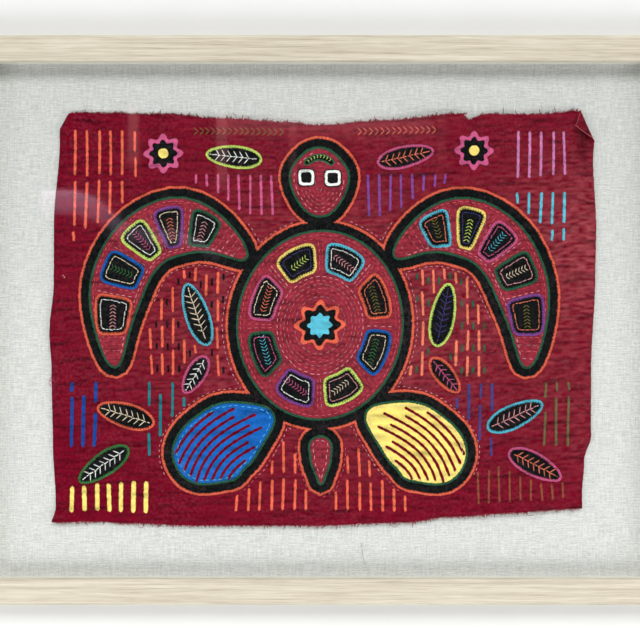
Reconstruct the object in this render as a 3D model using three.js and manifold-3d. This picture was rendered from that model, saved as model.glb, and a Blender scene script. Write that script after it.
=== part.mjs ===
// A framed mola: a layered cotton panel on a linen covered board, behind glass, in a plain wood frame that
// lies on its back. X runs along the panel, Y up the panel and Z out of the picture. Millimetres.
import * as THREE from 'three';
import { mergeVertices } from 'three/addons/utils/BufferGeometryUtils.js';
import Module from 'manifold-3d';

const wasm = await Module();
wasm.setup();

// Frame
const sightLong = 500;
const sightTall = 392;
const railWide = 20;
const railDeep = 24;
const lipThick = 3;
const rebateWall = 11;
const backRebateWall = 7;
const backRebateDeep = 3.9;
const railRound = 1.5;
const outerLong = sightLong + 2 * railWide;
const outerTall = sightTall + 2 * railWide;

// Boards, glazing and spacers. Each lies one gap from the next.
const gap = 0.3;
const sideGap = 0.5;
const backBoardThick = 3;
const glassThick = 2;
const linenBoardTop = 9.8;
const spacerWide = 7;
const glassTop = railDeep - lipThick - gap;
const glassBottom = glassTop - glassThick;

// Cloth
const clothBase = linenBoardTop + gap;
const groundThick = 1.2;
const layerThick = 0.7;
const layerStep = layerThick + gap;
const cellsAlong = 22;
const cellsUp = 16;
const edgeCrowding = 0.12;
const cutterTall = 30;

// The four edges of the panel. Along the top and bottom a row gives y at x, and down the sides x at y.
const topEdge = [
  { at: -193, to: 159.4 },
  { at: -129, to: 158.4 },
  { at: -80, to: 154.8 },
  { at: -31, to: 151.7 },
  { at: -6, to: 149.6 },
  { at: 43, to: 153.2 },
  { at: 106, to: 158.3 },
  { at: 166, to: 157.9 },
  { at: 198, to: 161 },
];
const bottomEdge = [
  { at: -205, to: -155.6 },
  { at: -177, to: -154.8 },
  { at: -140, to: -156.3 },
  { at: -91, to: -157.9 },
  { at: -5, to: -157.8 },
  { at: 69, to: -155.5 },
  { at: 106, to: -151 },
  { at: 156, to: -147.8 },
  { at: 202, to: -145 },
];
const leftEdge = [
  { at: -156, to: -206.6 },
  { at: -143, to: -203.4 },
  { at: -93, to: -205.6 },
  { at: -37, to: -206.4 },
  { at: -9, to: -208 },
  { at: 28, to: -204.8 },
  { at: 74, to: -204.8 },
  { at: 140, to: -200.2 },
  { at: 160, to: -198.8 },
];
const rightEdge = [
  { at: -145, to: 201.6 },
  { at: -117, to: 203.3 },
  { at: -94, to: 208.6 },
  { at: -43, to: 208.7 },
  { at: 31, to: 211.8 },
  { at: 68, to: 212.5 },
  { at: 123, to: 210.2 },
  { at: 161, to: 212.6 },
];
const panelLeft = -204;
const panelRight = 208;
const panelBottom = -154;
const panelTop = 158;

// Soft folds of the panel: where each lies, its half length and half width, its turn and its rise.
const folds = [
  { x: -196, y: -156, long: 22, wide: 14, turn: 20, rise: 2.6 },
  { x: -110, y: -160, long: 70, wide: 10, turn: 0, rise: 1.7 },
  { x: 20, y: -160, long: 60, wide: 10, turn: 0, rise: 1.3 },
  { x: 150, y: -150, long: 60, wide: 10, turn: 6, rise: 2.1 },
  { x: 204, y: -92, long: 26, wide: 5, turn: 4, rise: 1.6 },
  { x: 208, y: 20, long: 12, wide: 90, turn: 0, rise: 1.3 },
  { x: -206, y: -20, long: 9, wide: 80, turn: 0, rise: 1.2 },
  { x: 88, y: 158, long: 30, wide: 11, turn: 8, rise: 2.2 },
  { x: 172, y: 160, long: 26, wide: 9, turn: -4, rise: 1.6 },
  { x: -60, y: 156, long: 50, wide: 9, turn: -3, rise: 1.2 },
  { x: -196, y: 150, long: 16, wide: 12, turn: 45, rise: 1.8 },
];
const swellHigh = 0.35;
const swellAlong = 61;
const swellUp = 47;

// Corners and the tear in the top edge
const wornCorner = [[-192, 160.2], [-199.4, 148.6], [-201, 139]];
const foldTop = [199.4, 161.8];
const foldBottom = [211.2, 137.6];
const foldTip = [194.6, 149.2];
const foldGap = 0.4;
const foldRound = 1.4;
const tear = [[106.2, 165], [107.8, 153.6], [120, 159.2], [119, 165]];

// The figure is a sea turtle seen from above. These are the innermost outlines, and bands lie round them.
const wander = 0.7;
const wanderLong = 27;
const blackBand = 8;
const orangeBand = 10.4;
const shellMiddle = [0, -4];
const shellAcross = 62;
const shellAlong = 72;
const outlineSteps = 16;
const foreRoute = { from: [58, 48], rise: [112, 100], fall: [170, 62], to: [158, -36] };
const foreWidths = [{ at: 0, to: 13 }, { at: 0.35, to: 22 }, { at: 0.75, to: 21 }, { at: 1, to: 15 }];
const hindRoute = { from: [37, -72], rise: [62, -84], fall: [88, -92], to: [95, -124] };
const hindWidths = [{ at: 0, to: 14 }, { at: 0.5, to: 26 }, { at: 0.85, to: 29 }, { at: 1, to: 26 }];
const headRoute = { from: [0, 81], rise: [0, 96], fall: [0, 114], to: [0, 132] };
const headWidths = [{ at: 0, to: 14 }, { at: 0.6, to: 22 }, { at: 1, to: 16 }];
const tailRoute = { from: [0, -91], rise: [0, -100], fall: [0, -112], to: [0, -126] };
const tailWidths = [{ at: 0, to: 11 }, { at: 0.5, to: 7 }, { at: 1, to: 3 }];
const roundEnd = 3.4;
const pointedEnd = 2;

// Cells of the shell lie between two smaller ellipses, and those of a flipper follow its route.
const shellCells = 8;
const cellInner = 0.56;
const cellOuter = 0.9;
const cellShare = 0.8;
const cellCorner = 0.32;
const flipperCells = 5;
const flipperCellsFrom = 0.12;
const flipperCellsTo = 0.93;
const flipperCellFill = 0.74;
const rosetteRadius = 17;
const rosettePetals = 8;
const rosetteDip = 0.16;

// Leaves and flowers: middle, length, width and turn in degrees
const leaves = [
  { x: 66, y: 125, long: 44, wide: 19, turn: 12 },
  { x: 94, y: 4, long: 50, wide: 21, turn: 78 },
  { x: 96, y: -42, long: 34, wide: 17, turn: -50 },
  { x: 150, y: -74, long: 46, wide: 21, turn: 24 },
  { x: 166, y: -112, long: 46, wide: 20, turn: -28 },
];
const leftLeafTurn = 7;
const flowers = [
  { x: 118, y: 130, radius: 13 },
  { x: -121, y: 128, radius: 13.5 },
];

const vector = ([x, y]) => new THREE.Vector2(x, y);
const mix = THREE.MathUtils.lerp;
const radians = THREE.MathUtils.degToRad;

// Value at a place in a table of rows, blended softly between its rows
function along(rows, at) {
  const last = rows.length - 1;
  const place = THREE.MathUtils.clamp(at, rows[0].at, rows[last].at);
  const next = Math.max(1, rows.findIndex((row) => row.at >= place));
  const share = THREE.MathUtils.smoothstep(place, rows[next - 1].at, rows[next].at);
  return mix(rows[next - 1].to, rows[next].to, share);
}

// Point of the panel, from its share along the panel and up it
function spot(share, climb) {
  const x = mix(along(leftEdge, mix(panelBottom, panelTop, climb)),
    along(rightEdge, mix(panelBottom, panelTop, climb)), share);
  const y = mix(along(bottomEdge, mix(panelLeft, panelRight, share)),
    along(topEdge, mix(panelLeft, panelRight, share)), climb);
  return { x, y };
}

// Rise of the panel's underside over the board
function lie(x, y) {
  const swell = 2 + Math.sin(x / swellAlong + 1) + Math.sin(y / swellUp - x / swellAlong / 2);
  return folds.reduce((sum, fold) => {
    const turn = radians(fold.turn);
    const run = ((x - fold.x) * Math.cos(turn) + (y - fold.y) * Math.sin(turn)) / fold.long;
    const cross = ((y - fold.y) * Math.cos(turn) - (x - fold.x) * Math.sin(turn)) / fold.wide;
    return sum + fold.rise * Math.exp(-run * run - cross * cross);
  }, swell * swellHigh);
}

// Turns a geometry into a solid that can be joined and cut
function solid(geometry) {
  const bare = geometry.clone();
  bare.deleteAttribute('normal');
  bare.deleteAttribute('uv');
  const merged = mergeVertices(bare, 1e-4);
  return new wasm.Manifold(new wasm.Mesh({
    numProp: 3,
    vertProperties: new Float32Array(merged.attributes.position.array),
    triVerts: new Uint32Array(merged.index.array),
  }));
}

function geometryOf(body) {
  const { vertProperties, triVerts } = body.getMesh();
  const geometry = new THREE.BufferGeometry();
  geometry.setAttribute('position', new THREE.BufferAttribute(vertProperties, 3));
  geometry.setIndex(new THREE.BufferAttribute(triVerts, 1));
  return geometry;
}

// A sheet with the panel's outline and folds, its underside lifted by a level
function sheet(level, thick) {
  const geometry = new THREE.BoxGeometry(1, 1, 1, cellsAlong, cellsUp, 1);
  const points = geometry.attributes.position;
  const crowd = (t) => t - edgeCrowding * Math.sin(2 * Math.PI * t);
  for (let i = 0; i < points.count; i += 1) {
    const { x, y } = spot(crowd(points.getX(i) + 0.5), crowd(points.getY(i) + 0.5));
    const z = clothBase + level + lie(x, y) + (points.getZ(i) + 0.5) * thick;
    points.setXYZ(i, x, y, z);
  }
  return solid(geometry);
}

// A tall cutter with the outline of a piece
function cutter(outline) {
  const settings = { depth: cutterTall, bevelEnabled: false };
  return solid(new THREE.ExtrudeGeometry(new THREE.Shape(outline), settings));
}

// Outline moved outwards by a distance
function grown(outline, by) {
  return outline.map((point, i) => {
    const before = outline[(i + outline.length - 1) % outline.length];
    const run = outline[(i + 1) % outline.length].clone().sub(before).normalize();
    return new THREE.Vector2(point.x + run.y * by, point.y - run.x * by);
  });
}

const mirrored = (outline) => outline.map((point) => new THREE.Vector2(-point.x, point.y)).reverse();

// The uneven line of hand work
const byHand = (outline) => outline.map(({ x, y }) => new THREE.Vector2(
  x + wander * Math.sin(y / wanderLong + x / wanderLong / 2),
  y + wander * Math.sin(x / wanderLong - y / wanderLong / 3),
));

const routeOf = ({ from, rise, fall, to }) => new THREE.CubicBezierCurve(
  vector(from), vector(rise), vector(fall), vector(to),
);

// Point beside a route, with plus to the left of its run
function beside(route, at, out) {
  const point = route.getPoint(at);
  const run = route.getTangent(at);
  return new THREE.Vector2(point.x - run.y * out, point.y + run.x * out);
}

// Outline of a limb or leaf round a route. A higher power makes blunter ends.
function limb(route, widths, power, steps = outlineSteps) {
  const side = (sign) => Array.from({ length: steps + 1 }, (_, i) => {
    const at = (1 - Math.cos(Math.PI * i / steps)) / 2;
    const taper = Math.sqrt(Math.max(0, 1 - Math.abs(2 * at - 1) ** power));
    return beside(route, at, sign * along(widths, at) * taper);
  });
  return [...side(-1), ...side(1).reverse().slice(1, -1)];
}

function ellipse(middle, across, up, steps) {
  return Array.from({ length: steps }, (_, i) => {
    const turn = 2 * Math.PI * i / steps;
    return new THREE.Vector2(middle[0] + across * Math.cos(turn), middle[1] + up * Math.sin(turn));
  });
}

function petals(middle, radius) {
  return Array.from({ length: rosettePetals * 4 }, (_, i) => {
    const turn = 2 * Math.PI * i / (rosettePetals * 4);
    const reach = radius * (1 + rosetteDip * Math.cos(rosettePetals * turn));
    return new THREE.Vector2(middle[0] + reach * Math.cos(turn), middle[1] + reach * Math.sin(turn));
  });
}

// Rounded four-sided outline from a function that gives a point for two shares
function cell(place) {
  const corner = cellCorner / 2;
  const walk = [
    [corner, 0], [1 - corner, 0], [1 - corner / 4, corner / 4], [1, corner],
    [1, 1 - corner], [1 - corner / 4, 1 - corner / 4], [1 - corner, 1], [corner, 1],
    [corner / 4, 1 - corner / 4], [0, 1 - corner], [0, corner], [corner / 4, corner / 4],
  ];
  return walk.map(([run, out]) => place(run, out));
}

function shellCell(index) {
  return cell((run, out) => {
    const turn = (2 * Math.PI * (index + 0.5 + (0.5 - run) * cellShare)) / shellCells;
    const reach = mix(cellOuter, cellInner, out);
    return new THREE.Vector2(
      shellMiddle[0] + shellAcross * reach * Math.cos(turn),
      shellMiddle[1] + shellAlong * reach * Math.sin(turn),
    );
  });
}

function flipperCell(index) {
  const route = routeOf(foreRoute);
  const span = (flipperCellsTo - flipperCellsFrom) / flipperCells;
  return cell((run, out) => {
    const at = flipperCellsFrom + span * (index + (1 - cellShare) / 2 + cellShare * run);
    return beside(route, at, mix(-1, 1, out) * flipperCellFill * along(foreWidths, at));
  });
}

function leafOutline({ x, y, long, wide, turn }) {
  const run = [Math.cos(radians(turn)) * long / 2, Math.sin(radians(turn)) * long / 2];
  const straight = new THREE.LineCurve(vector([x - run[0], y - run[1]]), vector([x + run[0], y + run[1]]));
  return limb(straight, [{ at: 0, to: wide / 2 }, { at: 1, to: wide / 2.4 }], pointedEnd, outlineSteps / 2);
}

// Outlines of the figure's seven fields
const fore = limb(routeOf(foreRoute), foreWidths, roundEnd);
const hind = limb(routeOf(hindRoute), hindWidths, roundEnd);
const fields = {
  shell_field: ellipse(shellMiddle, shellAcross, shellAlong, 2 * outlineSteps),
  head_field: limb(routeOf(headRoute), headWidths, roundEnd),
  tail_field: limb(routeOf(tailRoute), tailWidths, pointedEnd, outlineSteps / 2),
  right_front_flipper: fore,
  left_front_flipper: mirrored(fore),
  right_hind_flipper: hind,
  left_hind_flipper: mirrored(hind),
};

function silhouette(by) {
  return Object.values(fields)
    .map((outline) => cutter(byHand(grown(outline, by))))
    .reduce((sum, body) => sum.add(body));
}

// The ground cloth: its worn corner, its tear and its folded corner
function groundCloth() {
  const flat = sheet(0, groundThick);
  const beyondFold = [foldBottom, [foldBottom[0] + 20, foldTop[1] + 20], foldTop].map(vector);
  const beyondCorner = [wornCorner[0], [wornCorner[0][0] - 20, wornCorner[0][1] + 10], wornCorner[2],
    wornCorner[1]].map(vector);
  const inward = vector(foldTip).sub(vector(foldTop)).setLength(foldRound);
  const roll = [foldTop, foldBottom].map(vector);
  roll.push(roll[1].clone().add(inward), roll[0].clone().add(inward));
  const flap = sheet(groundThick + foldGap, groundThick)
    .intersect(cutter([foldTop, foldTip, foldBottom].map(vector)));
  const bend = sheet(0, 2 * groundThick + foldGap).intersect(cutter(roll.reverse()));
  return flat
    .subtract(cutter(beyondFold))
    .subtract(cutter(beyondCorner))
    .subtract(cutter(tear.map(vector)))
    .add(bend)
    .add(flap);
}

// One piece of a sewn layer, cut from a sheet that follows the ground cloth
function sewn(layer, outline) {
  const level = groundThick + gap + (layer - 1) * layerStep;
  return sheet(level, layerThick).intersect(cutter(byHand(outline)));
}

function blackLayer() {
  return sheet(groundThick + gap, layerThick).intersect(silhouette(blackBand));
}

function orangeEdging() {
  return sheet(groundThick + gap, layerThick)
    .intersect(silhouette(orangeBand).subtract(silhouette(blackBand + gap)));
}

// Frame rail along X, with its section given by the distance in from its outer side and the height
function rail(length) {
  const section = new THREE.Shape();
  section.moveTo(0, 0);
  section.lineTo(backRebateWall, 0);
  section.lineTo(backRebateWall, backRebateDeep);
  section.lineTo(rebateWall, backRebateDeep);
  section.lineTo(rebateWall, railDeep - lipThick);
  section.lineTo(railWide, railDeep - lipThick);
  section.lineTo(railWide, railDeep - railRound);
  section.absarc(railWide - railRound, railDeep - railRound, railRound, 0, Math.PI / 2);
  section.absarc(railRound, railDeep - railRound, railRound, Math.PI / 2, Math.PI);
  const settings = { depth: length, bevelEnabled: false, curveSegments: 4 };
  const geometry = new THREE.ExtrudeGeometry(section, settings);
  const points = geometry.attributes.position;
  for (let i = 0; i < points.count; i += 1) {
    const inward = points.getX(i);
    const end = Math.sign(points.getZ(i) - length / 2);
    points.setXYZ(i, end * (length / 2 - inward - gap / 2), inward, points.getY(i));
  }
  return geometryOf(solid(geometry));
}

const box = (long, tall, thick) => new THREE.BoxGeometry(long, tall, thick);

const finish = (colour, roughness, opacity = 1) => new THREE.MeshStandardMaterial({
  color: colour, roughness, metalness: 0, opacity, transparent: opacity < 1,
});

const group = new THREE.Group();

function add(name, geometry, material) {
  const mesh = new THREE.Mesh(geometry, material);
  mesh.name = name;
  group.add(mesh);
  return mesh;
}

// Rails: the outer side of each faces away from the picture
const rails = [
  { name: 'rail_bottom', length: outerLong, out: outerTall / 2, turn: 0 },
  { name: 'rail_right', length: outerTall, out: outerLong / 2, turn: 90 },
  { name: 'rail_top', length: outerLong, out: outerTall / 2, turn: 180 },
  { name: 'rail_left', length: outerTall, out: outerLong / 2, turn: 270 },
];
rails.forEach(({ name, length, out, turn }) => {
  const piece = add(name, rail(length), finish('#d9d2c3', 0.6));
  piece.rotation.z = radians(turn);
  piece.position.set(out * Math.sin(radians(turn)), -out * Math.cos(radians(turn)), 0);
});

// Boards and glazing
const inRebate = [outerLong, outerTall].map((side) => side - 2 * (rebateWall + sideGap));
const inBackRebate = [outerLong, outerTall].map((side) => side - 2 * (backRebateWall + sideGap));
const linenBoardThick = linenBoardTop - backRebateDeep;
add('back_board', box(...inBackRebate, backBoardThick), finish('#b9a888', 0.85))
  .position.z = backRebateDeep - gap - backBoardThick / 2;
add('linen_board', box(...inRebate, linenBoardThick), finish('#d9dcd6', 0.95))
  .position.z = backRebateDeep + linenBoardThick / 2;
add('glazing', box(...inRebate, glassThick), finish('#eef4f2', 0.05, 0.2))
  .position.z = glassTop - glassThick / 2;

// Spacers, the long ones between the short ones
const spacerTall = glassBottom - gap - clothBase;
const spacerLevel = clothBase + spacerTall / 2;
const sideSpacer = inRebate[0] / 2 - spacerWide / 2;
const endSpacer = inRebate[1] / 2 - spacerWide / 2;
const shortSpacer = inRebate[0] - 2 * (spacerWide + gap);
[['left', -1], ['right', 1]].forEach(([side, sign]) => {
  add(`spacer_${side}`, box(spacerWide, inRebate[1], spacerTall), finish('#efece4', 0.8))
    .position.set(sign * sideSpacer, 0, spacerLevel);
});
[['bottom', -1], ['top', 1]].forEach(([side, sign]) => {
  add(`spacer_${side}`, box(shortSpacer, spacerWide, spacerTall), finish('#efece4', 0.8))
    .position.set(0, sign * endSpacer, spacerLevel);
});

// Cloth
const maroon = '#76182c';
add('ground_cloth', geometryOf(groundCloth()), finish(maroon, 0.95));
add('black_layer', geometryOf(blackLayer()), finish('#1b1d20', 0.95));
add('orange_edging', geometryOf(orangeEdging()), finish('#e8683c', 0.9));

const fieldColours = {
  left_hind_flipper: '#2f6fbf', right_hind_flipper: '#f6dc7c',
};
Object.entries(fields).forEach(([name, outline]) => {
  add(name, geometryOf(sewn(2, outline)), finish(fieldColours[name] ?? maroon, 0.95));
});

// Cells on the shell and the front flippers
const cellColours = [
  '#e2622f', '#39a7c9', '#e8d25e', '#c95fa0', '#3f8f5c', '#7a57a8', '#8fb84a', '#2f6fbf',
];
const colourOf = (index) => finish(cellColours[index % cellColours.length], 0.95);
for (let i = 0; i < shellCells; i += 1) {
  add(`shell_cell_${i + 1}`, geometryOf(sewn(3, shellCell(i))), colourOf(i));
}
for (let i = 0; i < flipperCells; i += 1) {
  add(`right_flipper_cell_${i + 1}`, geometryOf(sewn(3, flipperCell(i))), colourOf(i + 1));
  add(`left_flipper_cell_${i + 1}`, geometryOf(sewn(3, mirrored(flipperCell(i)))), colourOf(i + 4));
}
add('shell_rosette', geometryOf(sewn(3, petals(shellMiddle, rosetteRadius))), finish('#e2622f', 0.95));

// Leaves and flowers on the ground cloth
leaves.forEach((leaf, i) => {
  const left = { ...leaf, x: -leaf.x, turn: 180 - leaf.turn + leftLeafTurn };
  add(`right_leaf_${i + 1}`, geometryOf(sewn(1, leafOutline(leaf))), finish('#2c5b3c', 0.95));
  add(`left_leaf_${i + 1}`, geometryOf(sewn(1, leafOutline(left))), finish('#2c5b3c', 0.95));
});
flowers.forEach(({ x, y, radius }, i) => {
  add(`flower_${i + 1}`, geometryOf(sewn(1, petals([x, y], radius))), finish('#d9579a', 0.95));
});

export default group;
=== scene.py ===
# %% [markdown]
# # A framed mola
# This lesson dresses a framed mola: a panel of layered cotton that is cut, turned under and sewn by hand,
# laid on a linen board behind glass. A fixed frame of plain solids gives the sizes. Each part of the cloth
# is made again here as thin sewn pieces that lie on the same folds, with every stitch a small mesh of its
# own. Lengths are in millimetres until a piece is finished.

# %% Open the frame
import math

import bmesh
import bpy
import numpy as np
from mathutils import Matrix, Vector, noise


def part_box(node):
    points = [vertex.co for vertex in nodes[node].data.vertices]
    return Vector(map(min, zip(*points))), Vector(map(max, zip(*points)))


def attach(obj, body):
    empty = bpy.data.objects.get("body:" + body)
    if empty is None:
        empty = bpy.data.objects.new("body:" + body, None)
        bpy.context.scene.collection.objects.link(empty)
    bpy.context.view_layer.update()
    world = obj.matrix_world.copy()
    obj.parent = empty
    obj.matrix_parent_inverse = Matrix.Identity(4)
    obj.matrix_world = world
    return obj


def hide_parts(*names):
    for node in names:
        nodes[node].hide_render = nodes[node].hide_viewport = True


# Blender's noise takes a seed from the clock. It is given one here, so each run is alike.
SEED = 7
noise.seed_set(SEED)

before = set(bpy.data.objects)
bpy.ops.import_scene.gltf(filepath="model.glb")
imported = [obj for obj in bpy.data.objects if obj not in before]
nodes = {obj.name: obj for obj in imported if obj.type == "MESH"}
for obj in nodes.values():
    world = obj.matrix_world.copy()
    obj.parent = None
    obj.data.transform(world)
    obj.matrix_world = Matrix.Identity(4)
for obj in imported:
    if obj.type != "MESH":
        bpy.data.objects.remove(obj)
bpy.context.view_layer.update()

# %% [markdown]
# ## Camera
# The picture was taken straight from the front, and the panel lies on its back, so the camera hangs over
# the middle of it and looks down. A long lens keeps the sides of the panel straight. The field of view is
# worked out from the width of cloth and linen that the picture shows.

# %% Camera
MM = 0.001
FIELD_WIDE = 493
CLOTH_LEVEL = 11.5
CAMERA_RISE = 740
SENSOR = 36


def put(name, data):
    """Puts an object with its data into the scene."""
    item = bpy.data.objects.new(name, data)
    bpy.context.scene.collection.objects.link(item)
    return item


eye = bpy.data.cameras.new("camera")
eye.sensor_width = SENSOR
eye.lens = SENSOR * CAMERA_RISE / FIELD_WIDE
camera = put("camera", eye)
camera.location = (0, 0, (CLOTH_LEVEL + CAMERA_RISE) * MM)
bpy.context.scene.camera = camera
print("lens", round(eye.lens, 2), "mm")

# %% [markdown]
# ## Light and floor
# Linen and cotton need broad, soft light, or every thread throws a hard shadow. One wide lamp stands beyond
# the top of the picture, so the lower edge of the cloth has a thin shadow as it has in the picture. A weaker
# lamp on each side and a pale world fill the rest. Whoever takes a picture through glass stands dark over it,
# or the glass turns milky, so the world is dark right overhead and pale further down. The standard view
# transform keeps the dyes as they are mixed.

# %% Light and floor
FLOOR_SIDE = 6.0
LAMPS = (
    # name, place in metres, size in metres, power in watts
    ("window_lamp", (0.7, 3.6, 4.6), 2.4, 262),
    ("left_lamp", (-1.0, -1.0, 1.0), 0.9, 12.0),
    ("right_lamp", (1.05, -1.08, 1.0), 0.9, 12.2),
)
WORLD_TINT = (0.95, 0.97, 1.0, 1)
WORLD_LIGHT, OVERHEAD_LIGHT = 0.58, 0.012
OVERHEAD_FROM, OVERHEAD_TO = 0.74, 0.9


def lamp(name, place, size, power):
    """An area lamp that looks at the middle of the panel and isn't mirrored in the glass."""
    data = bpy.data.lights.new(name, "AREA")
    data.energy = power
    data.size = size
    item = put(name, data)
    item.location = place
    item.rotation_euler = Vector(place).to_track_quat("Z", "Y").to_euler()
    item.visible_glossy = False


def mesh_of(bm, name):
    """Turns a bmesh into a mesh."""
    mesh = bpy.data.meshes.new(name)
    bm.to_mesh(mesh)
    bm.free()
    return mesh


for row in LAMPS:
    lamp(*row)

world = bpy.data.worlds.new("world")
world.use_nodes = True
world_tree = world.node_tree
backdrop = world_tree.nodes["Background"]
backdrop.inputs["Color"].default_value = WORLD_TINT
look = world_tree.nodes.new("ShaderNodeTexCoord")
split = world_tree.nodes.new("ShaderNodeSeparateXYZ")
shade = world_tree.nodes.new("ShaderNodeMapRange")
shade.interpolation_type = "SMOOTHSTEP"
for socket, value in (("From Min", OVERHEAD_FROM), ("From Max", OVERHEAD_TO),
                      ("To Min", WORLD_LIGHT), ("To Max", OVERHEAD_LIGHT)):
    shade.inputs[socket].default_value = value
world_tree.links.new(look.outputs["Generated"], split.inputs[0])
world_tree.links.new(split.outputs["Z"], shade.inputs["Value"])
world_tree.links.new(shade.outputs["Result"], backdrop.inputs["Strength"])
bpy.context.scene.world = world
bpy.context.scene.view_settings.view_transform = "Standard"

bm = bmesh.new()
bmesh.ops.create_grid(bm, x_segments=1, y_segments=1, size=FLOOR_SIDE / 2)
floor = put("floor", mesh_of(bm, "floor"))
print("lamps", len(LAMPS), "floor", FLOOR_SIDE, "m wide")

# %% [markdown]
# ## The lie of the cloth
# A mola is never quite square or flat. Short tables of its four edges and its soft folds give the place of
# any point of it. Every sewn piece reads the same tables, so it follows the folds of the cloth under it.
# Working with whole arrays of points keeps this fast.

# %% Tables of the cloth
# An edge is a table of places along it and its levels there.
TOP_EDGE = ((-193, 159.4), (-129, 158.4), (-80, 154.8), (-31, 151.7), (-6, 149.6), (43, 153.2), (106, 158.3),
            (166, 157.9), (196, 161), (208, 157.3))
BOTTOM_EDGE = ((-205, -155.6), (-177, -154.8), (-140, -156.3), (-91, -157.9), (-5, -157.8), (69, -155.5),
               (106, -151), (156, -147.8), (202, -145))
LEFT_EDGE = ((-156, -206.6), (-143, -203.4), (-93, -205.6), (-37, -206.4), (-9, -208), (28, -204.8),
             (74, -204.8), (140, -200.2), (160, -198.8))
RIGHT_EDGE = ((-145, 201.6), (-117, 203.3), (-94, 208.6), (-43, 208.7), (31, 211.8), (68, 212.5),
              (123, 210.2), (161, 213.6))
PANEL = dict(left=-204, right=208, bottom=-154, top=158)
CLOTH_BASE = 10.1
GROUND_THICK = 1.2
FOLDS = (
    # middle x and y, half length, half width, turn in degrees, rise
    (-196, -156, 22, 14, 20, 2.6),
    (-110, -160, 70, 10, 0, 1.7),
    (20, -160, 60, 10, 0, 1.3),
    (150, -150, 60, 10, 6, 2.1),
    (204, -92, 26, 5, 4, 1.6),
    (208, 20, 12, 90, 0, 1.3),
    (-206, -20, 9, 80, 0, 1.2),
    (88, 158, 30, 11, 8, 2.2),
    (172, 160, 26, 9, -4, 1.6),
    (-60, 156, 50, 9, -3, 1.2),
    (-196, 150, 16, 12, 45, 1.8),
)
SWELL_HIGH, SWELL_ALONG, SWELL_UP = 0.35, 61, 47


def along(rows, at):
    """Value at a place in a table of (place, value) rows, blended softly between the rows."""
    places, values = np.array(rows, float).T
    at = np.clip(at, places[0], places[-1])
    after = np.clip(np.searchsorted(places, at), 1, len(places) - 1)
    share = (at - places[after - 1]) / (places[after] - places[after - 1])
    share = share * share * (3 - 2 * share)
    return values[after - 1] + (values[after] - values[after - 1]) * share


def lie(x, y):
    """Rise of the cloth's underside over the board, from its soft folds."""
    rise = SWELL_HIGH * (2 + np.sin(x / SWELL_ALONG + 1) + np.sin(y / SWELL_UP - x / SWELL_ALONG / 2))
    for middle_x, middle_y, long, wide, turn, high in FOLDS:
        c, s = math.cos(math.radians(turn)), math.sin(math.radians(turn))
        run = ((x - middle_x) * c + (y - middle_y) * s) / long
        cross = ((y - middle_y) * c - (x - middle_x) * s) / wide
        rise = rise + high * np.exp(-run * run - cross * cross)
    return rise


print("the cloth's middle lies", round(float(lie(0, 0)), 2), "mm over the board's cover")


# %% [markdown]
# Sewing pulls a cloth into small puckers that run across the rows of stitches, and storage leaves creases.
# Both are real shape here and not bump. A pucker is a soft wave. A crease is a narrow valley that wanders a
# little and fades out at its ends. The many unlike numbers in these waves only keep them from repeating.
# Cloth that is sewn over others is stiffer and bridges the valleys, so they get shallower from layer to
# layer. The dye is darkened in the valleys as painted shade and lightened on the crests as painted light.

# %% Puckers and creases
PUCKER_HIGH, PUCKER_PITCH = 0.13, 5.4
CREASES = (
    # pitch in mm, depth, sharpness, wander, phase
    (8.3, 0.32, 7, 0.55, 0.3),
    (13.7, 0.36, 12, 0.8, 2.1),
    (6.1, 0.38, 5, 0.3, 4.4),
)
CREASE_LONG, CREASE_SHORT, CREASE_SLOPE = 10, 3.9, 2.4
STIFFENING = 0.9
# Painted shade and light: the dye is darkened in the valleys and lightened on the crests, within these
# bounds.
VALLEY_PAINTED_SHADE, PAINTED_SHADE_LOW, PAINTED_LIGHT_HIGH = 1.2, 0.45, 1.2
# Painted shadow below the dog-ear: two soft spots where the dye is darkened.
DOG_EAR_PAINTED_SHADOW = (
    # middle x and y, half width, half height, share of the dye's light that is lost
    (202.5, 139, 5.0, 9, 0.62),
    (203.5, 124, 3.6, 10, 0.42),
)


def pucker(x, y):
    """Height of the small waves that the sewing pulls into the cloth."""
    wave = np.sin(2 * np.pi * y / PUCKER_PITCH + 1.4 * np.sin(x / 21) + 0.9 * np.sin(x / 8.3 + y / 33))
    place = 0.5 + 0.5 * np.sin(x / 17 + 2 + np.sin(y / 26)) * np.sin(y / 23 + 1 + np.sin(x / 37))
    cross = 0.5 * np.sin(x / 2.1 + 1.2 * np.sin(y / 13)) * (1 - place)
    return PUCKER_HIGH * (wave * place + cross)


def crease(x, y):
    """Depth of the creases, as a height below nought."""
    low = 0 * x
    for pitch, deep, sharp, bend, phase in CREASES:
        turn = 2 * np.pi * y / pitch + phase + bend * (np.sin(x / 19 + phase) + np.sin(x / 7.1 + y / 29))
        turn = turn + 2.2 * np.sin(y / 31 + 2 * phase) + CREASE_SLOPE * np.sin(x / 57 + y / 83 + 3 * phase)
        valley = (0.5 + 0.5 * np.cos(turn)) ** sharp
        row = np.floor(turn / (2 * np.pi) + 0.5)
        place = np.sin(x / CREASE_LONG + 2.4 * row + phase) * np.sin(x / (2 * CREASE_LONG) + 5.1 * row)
        place = place + 0.5 * np.sin(x / CREASE_SHORT + 4.3 * row)
        low = low - deep * valley * np.clip(0.3 + place, 0, 1)
    return low


def hump(x, y, middle_x, middle_y, wide, high):
    """A soft hill that is 1 at its middle and fades out over a half width and a half height."""
    return np.exp(-((x - middle_x) / wide) ** 2 - ((y - middle_y) / high) ** 2)


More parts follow.
